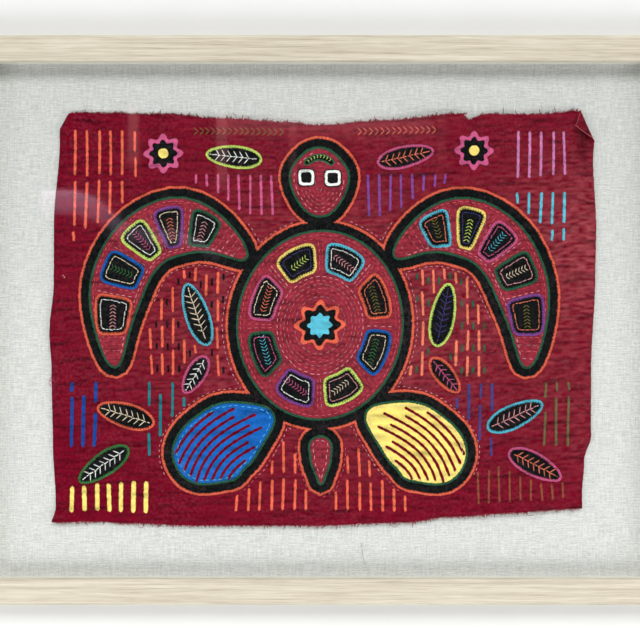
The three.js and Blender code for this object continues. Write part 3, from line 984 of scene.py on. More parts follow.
def shell_cell(index):
    """Outline of a cell in the ring on the shell."""
    run, out = cell_walk()
    turn = 2 * np.pi * (index + 0.5 + (0.5 - run) * CELL_SHARE) / SHELL_CELLS
    return on_shell(CELL_OUTER + (CELL_INNER - CELL_OUTER) * out, turn)


def flipper_cell(index):
    """Outline of a cell in the row on the right front flipper."""
    run, out = cell_walk()
    at = FLIPPER_FROM + FLIPPER_SPAN * (index + (1 - CELL_SHARE) / 2 + CELL_SHARE * run)
    return beside(FORE_ROUTE, at, (2 * out - 1) * FLIPPER_FILL * along(FORE_WIDTHS, at))


def turning(outline):
    """The outline, turned so that it runs against the clock."""
    x, y = outline.T
    return outline if np.dot(x, np.roll(y, -1)) > np.dot(y, np.roll(x, -1)) else outline[::-1]


CELLS = {f"shell_cell_{i + 1}": (turning(shell_cell(i)), CELL_DYES[i]) for i in range(SHELL_CELLS)}
for i in range(FLIPPER_CELLS):
    CELLS[f"right_flipper_cell_{i + 1}"] = (turning(flipper_cell(i)), CELL_DYES[(i + 1) % 8])
    CELLS[f"left_flipper_cell_{i + 1}"] = (turning(mirrored(flipper_cell(i))), CELL_DYES[(i + 4) % 8])
for name, (outline, dye) in CELLS.items():
    patch(name, ((outline, CELL_LOW, CELL_TOP, RIM_PAINTED_SHADE * DYES[dye]),
                 (grown(outline, -CELL_RIM), CELL_LOW + RIM_LEVEL, HEART_TOP, DYES["black"])))
print("cells", len(CELLS))

# %% [markdown]
# ## Leaves and flowers
# A leaf is a coloured rim, a black heart and a vein of thread. The flowers and the rosette on the shell are
# rings of petals, which a cosine round a circle draws.

# %% Leaves and flowers
LEAVES = (
    # x, y, length, width, turn in degrees, dyes of the right and the left one
    (66, 125, 44, 19, 12, "pink", "lime"),
    (94, 4, 50, 21, 78, "lime", "sky"),
    (96, -42, 34, 17, -50, "orange", "pink"),
    (150, -74, 46, 21, 24, "sky", "orange"),
    (166, -112, 46, 20, -28, "pink", "leaf"),
)
LEFT_LEAF_TURN = 7
LEAF_TOP, LEAF_HEART_TOP, LEAF_RIM = 0.75, 1.0, 2.0
LEAF_TIP = 1.2
FLOWERS = {"flower_1": (118, 130, 13), "flower_2": (-121, 128, 13.5)}
FLOWER_HEART, FLOWER_EYE, EYE_LEVEL, EYE_TOP = 0.72, 0.3, 0.6, 1.3
ROSETTE_RADIUS, ROSETTE_HEART, ROSETTE_EYE = 17, 0.82, 0.5
PETALS, PETAL_DIP, PETAL_STEPS = 8, 0.16, 8


def leaf_route(x, y, long, turn):
    """A straight route, given by its middle, its length and its direction."""
    reach = np.array((math.cos(math.radians(turn)), math.sin(math.radians(turn)))) * long / 2
    middle = np.array((x, y), float)
    return tuple(tuple(middle + reach * step) for step in (-1, -1 / 3, 1 / 3, 1))


def leaf_outline(route, wide):
    """Outline of a leaf, a little narrower towards its tip."""
    return limb(route, ((0, wide / 2), (1, wide / 2 / LEAF_TIP)), POINTED_END, OUTLINE_STEPS // 2)


def petals(middle, radius):
    """Outline of a ring of petals."""
    turn = 2 * np.pi * np.arange(PETALS * PETAL_STEPS) / (PETALS * PETAL_STEPS)
    reach = radius * (1 + PETAL_DIP * np.cos(PETALS * turn))
    return np.column_stack((middle[0] + reach * np.cos(turn), middle[1] + reach * np.sin(turn)))


LEAF_ROUTES = {}
for i, (x, y, long, wide, turn, right_dye, left_dye) in enumerate(LEAVES):
    LEAF_ROUTES[f"right_leaf_{i + 1}"] = (leaf_route(x, y, long, turn), wide, right_dye)
    LEAF_ROUTES[f"left_leaf_{i + 1}"] = (leaf_route(-x, y, long, 180 - turn + LEFT_LEAF_TURN), wide, left_dye)
for name, (route, wide, dye) in LEAF_ROUTES.items():
    outline = leaf_outline(route, wide)
    patch(name, ((outline, GROUND_LEVEL, LEAF_TOP, RIM_PAINTED_SHADE * DYES[dye]),
                 (grown(outline, -LEAF_RIM), RIM_LEVEL, LEAF_HEART_TOP, DYES["black"])))

for name, (x, y, radius) in FLOWERS.items():
    eye_radius = radius * FLOWER_EYE
    patch(name, ((petals((x, y), radius), GROUND_LEVEL, LEAF_TOP, DYES["pink"]),
                 (petals((x, y), radius * FLOWER_HEART), RIM_LEVEL, LEAF_HEART_TOP, DYES["black"]),
                 (ellipse((x, y), eye_radius, eye_radius, 16), EYE_LEVEL, EYE_TOP, DYES["yellow"])))

middle = SHELL["middle"]
patch("shell_rosette", (
    (petals(middle, ROSETTE_RADIUS), CELL_LOW, CELL_TOP, DYES["orange"]),
    (petals(middle, ROSETTE_RADIUS * ROSETTE_HEART), CELL_LOW + RIM_LEVEL, HEART_TOP, DYES["black"]),
    (petals(middle, ROSETTE_RADIUS * ROSETTE_EYE), CELL_LOW + EYE_LEVEL, HEART_TOP + 0.2, DYES["sky"])))
print("leaves", len(LEAF_ROUTES), "flowers", len(FLOWERS))

# %% [markdown]
# ## Combed flippers
# The hind flippers are one bright colour, combed with narrow slits through which the maroon shows. A ribbon
# is a width along any path, with round ends, and it serves for slits, bars and the line of the beak.

# %% Ribbons and slits
SLIT_HALF, SLIT_PITCH, SLIT_POINTS = 1.05, 5.6, 26
SLIT_LOW, SLIT_TOP, SLIT_TURNED = 1.5, 2.15, 0.12
SLIT_LONG_FROM, SLIT_SHORT_FROM, SLIT_TO = 0.1, 0.24, 0.995
SLIT_TIP, RIM_ROOM, TIP_ROOM = 0.6, 3.2, 0.2
CAP_STEPS = 4


def ribbon(path, half):
    """Outline of a strip along a path, with round ends."""
    path = np.array(path, float)
    run = unit(np.gradient(path, axis=0))
    side = left_of(run) * half
    turn = np.pi * (np.arange(1, CAP_STEPS) / CAP_STEPS)[:, None]
    far = path[-1] - side[-1] * np.cos(turn) + run[-1] * half * np.sin(turn)
    near = path[0] + side[0] * np.cos(turn) - run[0] * half * np.sin(turn)
    return np.concatenate((path - side, far, (path + side)[::-1], near))


def comb(route, widths):
    """Paths of slits that run along a flipper, long and short in turn, out through its tip."""
    paths = []
    for i, out in enumerate(np.arange(-4, 4.5) * SLIT_PITCH):
        first = (SLIT_LONG_FROM if i % 2 else SLIT_SHORT_FROM) + 0.09 * abs(out) / SLIT_PITCH / 2
        at = np.linspace(first, SLIT_TO, SLIT_POINTS)
        room = along(widths, at) * taper(at, ROUND_END) - abs(out)
        path = beside(route, at, out)[room > np.where(at > SLIT_TIP, SLIT_HALF + TIP_ROOM, RIM_ROOM)]
        if len(path) > 3:
            paths.append(path)
    return paths


for side, flip in (("right", 1), ("left", -1)):
    bm = bmesh.new()
    slits = comb(HIND_ROUTE, HIND_WIDTHS)
    for path in slits:
        outline = hand_cut(turning(ribbon(path * (flip, 1), SLIT_HALF)))
        sew(bm, outline, SLIT_LOW, SLIT_TOP, DYES["maroon"], turned=SLIT_TURNED)
    finish(bm, f"{side}_hind_slits", COTTON, "ground_cotton")
    print(side, "slits", len(slits))

# %% [markdown]
# ## The head
# Two white rings with dark hearts are the eyes. The beak is a dark bow on a green one, so green shows all
# round it.

# %% Eyes and beak
EYE_PLACES = ((-10, 110), (10.4, 109.4))
EYE_RADIUS, PUPIL_HALF = 6.0, 4.1
BEAK_REACH, BEAK_Y, BEAK_BOW = 9.5, 125.6, 4.2
BEAK_HALF, BEAK_EDGE = 1.5, 1.1


def squared(place, half):
    """Outline of a rounded square round a place."""
    run, out = cell_walk(3)
    return np.array(place) + 2 * half * (np.column_stack((run, out)) - 0.5)


bm = bmesh.new()
for place in EYE_PLACES:
    sew(bm, hand_cut(squared(place, EYE_RADIUS + 0.9)), CELL_LOW, FIELD_TOP + 0.25, DYES["black"])
    sew(bm, hand_cut(squared(place, EYE_RADIUS)), CELL_LOW, CELL_TOP, DYES["white"])
    sew(bm, hand_cut(squared(place, PUPIL_HALF)), CELL_LOW, HEART_TOP, DYES["black"])
finish(bm, "eye_rings", COTTON, "colour_cotton")

beak_x = np.linspace(-BEAK_REACH, BEAK_REACH, 13)
BEAK = np.column_stack((beak_x, BEAK_Y - BEAK_BOW * (beak_x / BEAK_REACH) ** 2))
bm = bmesh.new()
sew(bm, hand_cut(turning(ribbon(BEAK, BEAK_HALF + BEAK_EDGE))), CELL_LOW, FIELD_TOP + 0.3, DYES["green"])
sew(bm, hand_cut(turning(ribbon(BEAK, BEAK_HALF))), CELL_LOW, CELL_TOP, DYES["black"])
finish(bm, "beak_line", COTTON, "black_cotton")
print("eyes", len(EYE_PLACES), "beak", round(length_of(BEAK), 1), "mm long")

# %% [markdown]
# ## Stitches
# There are thousands of stitches, so a stitch has only a few dozen faces: a small sphere, drawn out long and
# laid down. Spools collect the ends of the stitches of one kind, and one mesh is then filled from arrays,
# which is far quicker than an object for each. The random numbers come from one seeded source, so each run
# gives the same work.

# %% A spool of stitches
hand = np.random.default_rng(SEED)
STITCH_FLAT = 0.62
TINT_SPREAD, WIDTH_SPREAD = (0.86, 1.12), (0.88, 1.12)


def stitch_shape(rings):
    """Points and faces of one stitch, a unit long, with its ends along X."""
    bm = bmesh.new()
    bmesh.ops.create_uvsphere(bm, u_segments=6, v_segments=rings, radius=0.5)
    bmesh.ops.rotate(bm, cent=(0, 0, 0), matrix=Matrix.Rotation(math.pi / 2, 3, "Y"), verts=bm.verts)
    bm.verts.index_update()
    points = np.array([v.co[:] for v in bm.verts])
    faces = [[v.index for v in f.verts] for f in bm.faces]
    bm.free()
    points[:, 1:] /= np.abs(points[:, 1]).max() * 2
    return points, faces


STITCHES = {rings: stitch_shape(rings) for rings in (3, 4)}


def lay(spool, starts, ends, level, wide, dye):
    """Adds stitches from one set of points to another, at a height over the ground cloth."""
    starts, ends = np.atleast_2d(starts), np.atleast_2d(ends)
    if len(starts):
        tint = np.outer(hand.uniform(*TINT_SPREAD, len(starts)), dye)
        size = np.full(len(starts), wide) * hand.uniform(*WIDTH_SPREAD, len(starts))
        spool.append(np.column_stack((starts, ends, np.full(len(starts), level), size, tint)))


def repeated(name, points, faces, copies):
    """A mesh of many copies of one shape, from all their points and the faces of the first."""
    corners, sizes = np.concatenate(faces), np.array([len(f) for f in faces])
    shift = len(points) // copies * np.arange(copies)[:, None]
    mesh = bpy.data.meshes.new(name)
    mesh.vertices.add(len(points))
    mesh.vertices.foreach_set("co", points.ravel())
    mesh.loops.add(len(corners) * copies)
    mesh.loops.foreach_set("vertex_index", (corners + shift).ravel())
    mesh.polygons.add(len(sizes) * copies)
    mesh.polygons.foreach_set("loop_start", np.concatenate(([0], np.cumsum(np.tile(sizes, copies))[:-1])))
    mesh.update(calc_edges=True)
    mesh.validate()
    return mesh


def wind(spool, name, rings=3):
    """Makes one piece of all the stitches on a spool."""
    shape, faces = STITCHES[rings]
    rows = np.concatenate(spool)
    start, end, level, wide, dye = rows[:, 0:2], rows[:, 2:4], rows[:, 4], rows[:, 5], rows[:, 6:9]
    long = np.linalg.norm(end - start, axis=1)
    run = unit(end - start)
    low, high = rest(*start.T, level), rest(*end.T, level)
    a, b, c = shape.T
    flat = ((start + end) / 2)[:, None] + (run * long[:, None])[:, None] * a[:, None] \
        + (left_of(run) * wide[:, None])[:, None] * b[:, None]
    level = ((low + high) / 2 + level)[:, None] + (high - low)[:, None] * a \
        + (wide * STITCH_FLAT)[:, None] * c
    points = np.concatenate((flat, level[:, :, None]), axis=2).reshape(-1, 3) * MM
    mesh = repeated(name, points, faces, len(rows))
    layer = mesh.attributes.new("dye", "FLOAT_COLOR", "POINT")
    tints = np.repeat(np.column_stack((dye, np.ones(len(rows)))), len(shape), axis=0)
    layer.data.foreach_set("color", tints.ravel())
    own(mesh, name, THREAD, "sewing_thread")
    print(name, "stitches:", len(rows), "faces:", len(mesh.polygons))


# %% [markdown]
# Three kinds of stitch do all the work. Running stitches follow a path with gaps between them. Whip stitches
# hold a turned edge down and lie across it. Chevrons are pairs of slanted stitches in a row, for veins and
# herringbone. Small random shifts keep each of them from being even.

# %% Kinds of stitch
RUN_PITCH, RUN_LONG, RUN_WIDE = 4.9, 3.2, 0.68
# Painted highlight: whip stitches are a little lighter than the dye of the cloth they hold.
WHIP_PAINTED_LIGHT = 1.07


def running(spool, path, level, dye, closed=False, pitch=RUN_PITCH, long=RUN_LONG, wide=RUN_WIDE):
    """Running stitches along a path."""
    whole = length_of(path, closed)
    count = max(1, round(whole / pitch))
    at = (np.arange(count) + hand.uniform(0.05, 0.3)) * whole / count + hand.normal(0, 0.22, count)
    size = long * hand.uniform(0.85, 1.12, count)
    if not closed:
        at = np.clip(at, 0, whole)
        size = np.minimum(size, whole - at)
        at, size = at[size > 1], size[size > 1]
    shift = hand.normal(0, 0.16, (len(at), 2))
    lay(spool, paced(path, at, closed) + shift, paced(path, at + size, closed) + shift, level, wide, dye)


def whipped(spool, outline, level, dye, pitch=2.0, reach=1.3, wide=0.72, over=0.4):
    """Whip stitches over the edge of a patch, slanting the way the needle went."""
    whole = length_of(outline, True)
    count = max(4, round(whole / pitch))
    at = np.arange(count) * whole / count + hand.normal(0, 0.18, count)
    here, ahead = paced(outline, at, True), paced(outline, at + 0.5, True)
    run = unit(ahead - here)
    inner = here + left_of(run) * reach * hand.uniform(0.75, 1.15, (count, 1)) + run * 0.45
    outer = here - left_of(run) * over * hand.uniform(0.6, 1.3, (count, 1))
    # The stitches carry a painted highlight, a little lighter than their dye.
    lay(spool, outer, inner, level, wide, WHIP_PAINTED_LIGHT * dye)


def chevrons(spool, path, level, dye, pitch=3.6, reach=2.6, lean=1.9, wide=0.62):
    """Pairs of slanted stitches that point along a path."""
    whole = length_of(path)
    at = np.arange(pitch / 2, whole - 0.3, pitch)
    at = at + hand.normal(0, 0.12, len(at))
    here, ahead = paced(path, at), paced(path, np.minimum(at + 0.3, whole))
    gone = paced(path, np.maximum(at - 0.3, 0))
    run = (ahead - gone) / np.maximum(np.linalg.norm(ahead - gone, axis=1), 1e-6)[:, None]
    for sign in (-1, 1):
        lay(spool, here, here - run * lean + left_of(run) * reach * sign, level, wide, dye)


def inset_limb(route, widths, by):
    """Outline inside a limb, moved in by a distance at its sides and its ends."""
    whole = length_of(on_route(route, np.linspace(0, 1, 30))[0])
    cut = by / whole
    at = cut + (1 - 2 * cut) * eased(OUTLINE_STEPS)
    ends = np.sqrt(np.clip(1 - np.abs((2 * at - 1) / (1 - 2 * cut)) ** ROUND_END, 0, 1))
    return both_sides(route, at, np.maximum(along(widths, at) - by, 0.6) * ends)


# %% [markdown]
# The fields are filled with rows of running stitches a few millimetres apart that echo their outlines, in
# salmon, brick, blush and mauve. Rows cross no cell: on the shell they run inside and outside the ring of
# cells and between them.

# %% Rows on the shell
ON_FIELD = FIELD_TOP + 0.12
ROW_DYES = ("salmon", "brick", "blush", "salmon", "mauve", "salmon", "brick", "mauve", "salmon", "blush")
SHELL_ROWS = (0.972, 0.93, 0.525, 0.482, 0.439, 0.396, 0.353, 0.31)
SPOKE_ASIDE, SPOKE_FROM, SPOKE_TO = 0.026, 0.57, 0.9

field_rows = []
for i, share in enumerate(SHELL_ROWS):
    path = by_hand(ellipse(SHELL["middle"], SHELL["across"] * share, SHELL["up"] * share))
    running(field_rows, path, ON_FIELD, DYES[ROW_DYES[i]], closed=True)
for i in range(SHELL_CELLS):
    for side in (-1, 1):
        turn = 2 * np.pi * i / SHELL_CELLS + side * SPOKE_ASIDE
        spoke = on_shell(np.linspace(SPOKE_FROM, SPOKE_TO, 6), turn)
        running(field_rows, by_hand(spoke), ON_FIELD, DYES[ROW_DYES[i + side]])
print("rows on the shell", len(field_rows))

# %% [markdown]
# On the head the rows follow its rim, one inside the other, and stop short of the eyes and the beak. So a row
# is walked in half millimetre steps, and only the stretches that are clear of what lies there are sewn.

# %% Rows on the head
HEAD_ROW, HEAD_FIRST, HEAD_LAST, HEAD_CLEAR = 3.2, 2.4, 21, 2.6
WALK_STEP, LEAST_STEPS = 0.5, 7
ANYWHERE = (-300, 300, -300, 300)


def clear_runs(path, holes, clear, box=ANYWHERE):
    """The stretches of a closed path that lie in a box and keep clear of some points."""
    spots = paced(path, np.arange(0, length_of(path, True), WALK_STEP), True)
    free = np.linalg.norm(spots[:, None] - np.array(holes)[None], axis=2).min(axis=1) > clear
    for place, low, high in zip(spots.T, box[0::2], box[1::2]):
        free &= (place > low) & (place < high)
    for stretch in np.split(np.arange(len(spots)), np.flatnonzero(np.diff(free.astype(int))) + 1):
        if free[stretch[0]] and len(stretch) > LEAST_STEPS:
            yield spots[stretch]


head_holes = [paced(squared(place, EYE_RADIUS + 0.6), np.arange(0, 38, 1.5), True) for place in EYE_PLACES]
head_holes = np.concatenate(head_holes + [BEAK + (0, -0.6), BEAK + (0, 0.8)])
for i, inset in enumerate(np.arange(HEAD_FIRST, HEAD_LAST, HEAD_ROW)):
    path = by_hand(inset_limb(HEAD_ROUTE, HEAD_WIDTHS, inset))
    for stretch in clear_runs(path, head_holes, HEAD_CLEAR):
        running(field_rows, stretch, ON_FIELD, DYES[ROW_DYES[i + 2]])
print("rows on the shell and the head", len(field_rows))

# %% [markdown]
# A front flipper has rows down both sides, rows across it between the cells, and more of those where it meets
# the shell and at its tip. A hind flipper and the tail have one row inside their rims.

# %% Rows on the flippers and the tail
SIDE_ROWS, SIDE_FROM, SIDE_TO, SIDE_POINTS = (0.91, 0.82, -0.82, -0.91), 0.03, 0.97, 50
CROSS_ASIDE, CROSS_REACH, CROSS_ROUND, CROSS_POINTS = 0.011, 0.72, 6, 8
ROOT_ROWS = (FLIPPER_FROM - 0.036, 0.02, -0.024)
TIP_ROWS = (FLIPPER_TO + 0.028, 0.985, 0.02)
HIND_INSET, TAIL_INSET = 2.0, 2.4
HIND_ROW_DYES = {1: "cream", -1: "sky"}

cuts = [FLIPPER_FROM + FLIPPER_SPAN * i + side * CROSS_ASIDE
        for i in range(FLIPPER_CELLS + 1) for side in (-1, 1)]
cuts += list(np.arange(*ROOT_ROWS)) + list(np.arange(*TIP_ROWS))
for flip in (1, -1):
    at = np.linspace(SIDE_FROM, SIDE_TO, SIDE_POINTS)
    for i, share in enumerate(SIDE_ROWS):
        path = beside(FORE_ROUTE, at, share * along(FORE_WIDTHS, at) * taper(at, ROUND_END))
        running(field_rows, by_hand(path * (flip, 1)), ON_FIELD, DYES[ROW_DYES[i]])
    for i, cut in enumerate(cuts):
        blunt = (1 - abs(2 * cut - 1) ** CROSS_ROUND) ** 0.5
        reach = CROSS_REACH * np.linspace(-1, 1, CROSS_POINTS) * along(FORE_WIDTHS, cut) * blunt
        path = beside(FORE_ROUTE, np.full(CROSS_POINTS, cut), reach)
        running(field_rows, by_hand(path * (flip, 1)), ON_FIELD, DYES[ROW_DYES[(i + 3 * (flip > 0)) % 10]])
    path = inset_limb(HIND_ROUTE, HIND_WIDTHS, HIND_INSET)
    running(field_rows, by_hand(path * (flip, 1)), ON_FIELD, DYES[HIND_ROW_DYES[flip]], closed=True)
path = by_hand(inset_limb(TAIL_ROUTE, TAIL_WIDTHS, TAIL_INSET))
running(field_rows, path, ON_FIELD, DYES["blush"], closed=True)
wind(field_rows, "field_running_stitches", rings=4)

# %% [markdown]
# Every turned edge is held down by whip stitches in the dye of its own layer, made a little lighter as a
# painted highlight. The layers of the figure come first, and then the patches on them and round them.

# %% Edge stitches
edge_rows = []
whipped(edge_rows, EDGING_OUTLINE, EDGING_TOP, DYES["orange"], reach=1.7)
for name, outline in FIELDS.items():
    whipped(edge_rows, by_hand(grown(outline, GREEN_BAND)), GREEN_TOP, DYES["green"], pitch=1.9, over=0.5)
    whipped(edge_rows, by_hand(outline), FIELD_TOP, DYES[FIELD_DYES.get(name, "wine")], pitch=2.6, reach=0.9)
whipped(edge_rows, BLACK_OUTLINE, BLACK_TOP, DYES["black"], pitch=2.7, reach=0.7, over=0.6)
wind(edge_rows, "edge_whip_stitches")

patch_rows = []
for outline, dye in CELLS.values():
    whipped(patch_rows, by_hand(outline), CELL_TOP, DYES[dye], pitch=1.8, reach=1.6)
    heart = by_hand(grown(outline, -CELL_RIM))
    whipped(patch_rows, heart, HEART_TOP, DYES["black"], reach=0.5, over=0.95)
for route, wide, dye in LEAF_ROUTES.values():
    whipped(patch_rows, by_hand(leaf_outline(route, wide)), LEAF_TOP, DYES[dye], pitch=1.8)
    heart = by_hand(grown(leaf_outline(route, wide), -LEAF_RIM))
    whipped(patch_rows, heart, LEAF_HEART_TOP, DYES["black"], reach=0.5, over=0.8)
for x, y, radius in FLOWERS.values():
    whipped(patch_rows, by_hand(petals((x, y), radius)), LEAF_TOP, DYES["pink"], pitch=1.8)
rosette_outline = by_hand(petals(SHELL["middle"], ROSETTE_RADIUS))
whipped(patch_rows, rosette_outline, CELL_TOP, DYES["orange"], pitch=1.8)
for place in EYE_PLACES:
    whipped(patch_rows, by_hand(squared(place, EYE_RADIUS)), CELL_TOP, DYES["white"], pitch=1.7, reach=1.1)
wind(patch_rows, "patch_whip_stitches")

# %% [markdown]
# A cell has a loop of close running stitches inside its rim and chevrons down its longer middle, which the
# singular values of its outline give. A leaf has a vein of thread with side veins, and the beak has chevrons.

# %% Threads on the cells, the leaves and the beak
LOOP_DYES = ("coral", "white", "violet", "cream", "pink", "white", "blush", "cream")
VEIN_DYES = ("olive", "blush", "lime", "coral", "sky", "pink", "cream", "leaf")
LOOP_INSET, VEIN_SHORT = 2.2, 2.4
HERRINGBONES = (
    # left, right, level, dye
    (-96, -26, 144.8, "olive"),
    (30, 92, 145.4, "coral"),
)

fancy_rows = []
for i, (outline, _) in enumerate(CELLS.values()):
    inner = by_hand(grown(outline, -CELL_RIM - LOOP_INSET))
    running(fancy_rows, inner, HEART_TOP, DYES[LOOP_DYES[i % 8]], closed=True, pitch=2.0, long=2.15,
            wide=0.72)
    middle = inner.mean(axis=0)
    turn = np.linalg.svd(inner - middle, full_matrices=False)[2][0]
    reach = ((inner - middle) @ turn).max() - VEIN_SHORT
    if reach > 2:
        path = middle + np.outer(np.linspace(-reach, reach, 9), turn)
        chevrons(fancy_rows, path, HEART_TOP, DYES[VEIN_DYES[i % 8]], pitch=2.6, reach=2.6, wide=0.66)
for i, (route, wide, _) in enumerate(LEAF_ROUTES.values()):
    path = by_hand(on_route(route, np.linspace(0.08, 0.93, 16))[0])
    running(fancy_rows, path, LEAF_HEART_TOP, DYES[LOOP_DYES[i % 8]], pitch=2.3, long=2.5, wide=0.85)
    chevrons(fancy_rows, path[1:-2][::-1], LEAF_HEART_TOP, DYES[LOOP_DYES[i % 8]], pitch=4.6,
             reach=wide * 0.24, lean=3.2, wide=0.75)
chevrons(fancy_rows, BEAK, CELL_TOP, DYES["lime"], pitch=2.6, reach=1.2, lean=1.0, wide=0.6)
for left, right, level, dye in HERRINGBONES:
    path = np.column_stack((np.linspace(left, right, 20), np.full(20, level)))
    chevrons(fancy_rows, by_hand(path), 0.15, DYES[dye], pitch=4.4, reach=2.9, lean=3.2, wide=0.7)
wind(fancy_rows, "vein_and_chevron_stitches", rings=4)

# %% [markdown]
# ## The ground round the figure
# What is sewn on the ground has to keep clear of the figure, the leaves and the flowers. Their outlines are
# collected once. A point has room if it lies outside all of them, some way off their rims and some way in
# from the cloth's edges.

# %% Room on the ground
BAR_CLEAR, EDGE_CLEAR, DOT_STEP = 3.4, 8.0, 1.4
SHAPES = [EDGING_OUTLINE]
SHAPES += [by_hand(leaf_outline(route, wide)) for route, wide, _ in LEAF_ROUTES.values()]
SHAPES += [by_hand(petals((x, y), radius)) for x, y, radius in FLOWERS.values()]


def dotted(outlines):
    """Close points along some closed outlines."""
    return np.concatenate([paced(o, np.arange(0, length_of(o, True), DOT_STEP), True) for o in outlines])


DENSE = dotted(SHAPES)
print("shapes on the ground", len(SHAPES), "points round them", len(DENSE))


def within(points, outline):
    """Which points lie inside an outline."""
    inside = np.zeros(len(points), bool)
    for (x1, y1), (x2, y2) in zip(outline, np.roll(outline, -1, 0)):
        crosses = (y1 > points[:, 1]) != (y2 > points[:, 1])
        with np.errstate(divide="ignore", invalid="ignore"):
            side = points[:, 0] < (x2 - x1) * (points[:, 1] - y1) / (y2 - y1) + x1
        inside ^= crosses & side
    return inside


def has_room(points):
    """Which points are clear of every shape and of the cloth's edges."""
    near = np.array([np.hypot(*(DENSE - p).T).min() for p in points])
    x, y = points.T
    free = near > BAR_CLEAR
    for outline in SHAPES:
        free &= ~within(points, outline)
    free &= (y < along(TOP_EDGE, x) - EDGE_CLEAR) & (y > along(BOTTOM_EDGE, x) + EDGE_CLEAR)
    free &= (x > along(LEFT_EDGE, y) + EDGE_CLEAR) & (x < along(RIGHT_EDGE, y) - EDGE_CLEAR)
    return free


# %% [markdown]
# Just outside the orange edging, one more row of running stitches goes round the figure. It shows in three
# places, and stops at every leaf.

# %% Rows on the ground that echo the figure
ECHO_OUT, ECHO_CLEAR, ECHO_LEVEL = 1.8, 1.3, 0.1
ECHO_BOXES = (
    # left, right, low, high, dye
    (-128, -20, -120, 76, "blush"),
    (22, 132, -120, 76, "blush"),
    (-60, 62, -150, -96, "salmon"),
)

leaf_spots = dotted(SHAPES[1:])
echo = by_hand(round_figure(ORANGE_BAND + ECHO_OUT))
echo_rows = []
for *box, dye in ECHO_BOXES:
    for stretch in clear_runs(echo, leaf_spots, ECHO_CLEAR, box):
        running(echo_rows, stretch, ECHO_LEVEL, DYES[dye], pitch=4.4, long=2.4, wide=0.6)
wind(echo_rows, "echo_stitches")

# %% [markdown]
# ## Bars
# Every space that is left on a mola is filled, mostly with upright slits that show another dye. Bars stand in
# zones, each with its own dyes. A column of a zone is walked in small steps, and a bar is put wherever there
# is room between the shapes, so the filling fits the figure by itself.

# %% Bars
ZONES = (
    # left, right, low, high, pitch, half width, longest, walked down, dye
    (-189, -146, 62, 147, 9.0, 0.95, 34, True, "orange"),
    (152, 190, 104, 146, 9.0, 0.95, 34, True, "lilac"),
    (152, 190, 62, 99, 9.0, 0.95, 24, True, "sky"),
    (-96, -34, 76, 112, 8.4, 0.9, 30, True, "pink"),
    (38, 98, 76, 112, 8.4, 0.9, 30, True, "purple"),
    (-143, -138, 108, 146, 9.0, 0.9, 14, True, "orange"),
    (-130, -70, -42, 60, 8.6, 0.95, 17, False, "orange"),
    (70, 130, -42, 60, 8.6, 0.95, 17, False, "coral"),
    (-191, -171, -97, -48, 8.8, 1.3, 38, False, "navy"),
    (173, 196, -97, -48, 8.8, 0.8, 38, False, "moss"),
    (-190, -128, -147, -122, 9.4, 1.6, 20, False, "yellow"),
    (122, 190, -141, -112, 8.2, 0.75, 26, False, "brown"),
    (-132, -104, -104, -48, 8.8, 1.0, 30, False, "teal"),
    (106, 134, -104, -48, 8.8, 1.0, 30, False, "violet"),
    (-64, -10, -146, -90, 8.8, 1.0, 22, False, "orange"),
    (12, 66, -146, -90, 8.8, 1.0, 22, False, "orange"),
)
BAR_LOW, BAR_TOP, BAR_TURNED, BAR_CELL = 0.02, 0.36, 0.2, 2.2
BAR_GAP, SHORTEST_BAR = 5, 6.0
DASHES = ((-125.7, -74, "black"), (74.3, 126, "green"))
DASH_LOW, DASH_HIGH, DASH_PITCH, DASH_HALF = -40, 56, 8.6, 0.8
DASH_LONG, DASH_GAP = 5, 12


def stretches(line, low, high, longest, gap, down):
    """Free stretches of an upright line, as pairs of levels."""
    levels = np.arange(low, high, 1.0)
    free = has_room(np.column_stack((np.full(len(levels), line), levels)))
    if down:
        levels, free = levels[::-1], free[::-1]
    step = 0
    while step < len(levels):
        stop = step
        while stop < len(levels) and free[stop] and stop - step < longest:
            stop += 1
        if stop - step >= min(SHORTEST_BAR, longest):
            yield levels[step], levels[stop - 1]
        step = stop + gap if stop > step else step + 1


BARS = []
for left, right, low, high, pitch, half, longest, down, dye in ZONES:
    for line in np.arange(left, right, pitch):
        for start, stop in stretches(line, low, high, longest + hand.integers(-2, 3), BAR_GAP, down):
            tilt = hand.normal(0, 0.3, 2)
            ends = np.array(((line + tilt[0], start), (line + tilt[1], stop)))
            BARS.append((ends[0] + (ends[1] - ends[0]) * np.linspace(0, 1, 6)[:, None], half, dye))
for left, right, dye in DASHES:
    for line in np.arange(left, right, DASH_PITCH):
        for start, stop in stretches(line, DASH_LOW, DASH_HIGH, DASH_LONG, DASH_GAP, False):
            BARS.append((np.column_stack((np.full(4, line), np.linspace(start, stop, 4))), DASH_HALF, dye))

bm = bmesh.new()
bar_rows = []
for path, half, dye in BARS:
    outline = turning(ribbon(path, half * hand.uniform(0.9, 1.1)))
    sew(bm, hand_cut(outline), BAR_LOW, BAR_TOP, DYES[dye], turned=BAR_TURNED, cell=BAR_CELL)
    whipped(bar_rows, by_hand(outline), BAR_TOP - 0.05, 0.95 * DYES[dye], pitch=2.2, reach=0.8, wide=0.55,
            over=0.3)
finish(bm, "bars", COTTON, "colour_cotton")
wind(bar_rows, "bar_whip_stitches")
print("bars", len(BARS))

# %% [markdown]
# ## Raw edges and loose threads
# The long edges of the panel were cut and never hemmed, so short ends of the weave stand out of them. A few
# threads have worked loose, and some lint lies under the glass, as it does in any frame.

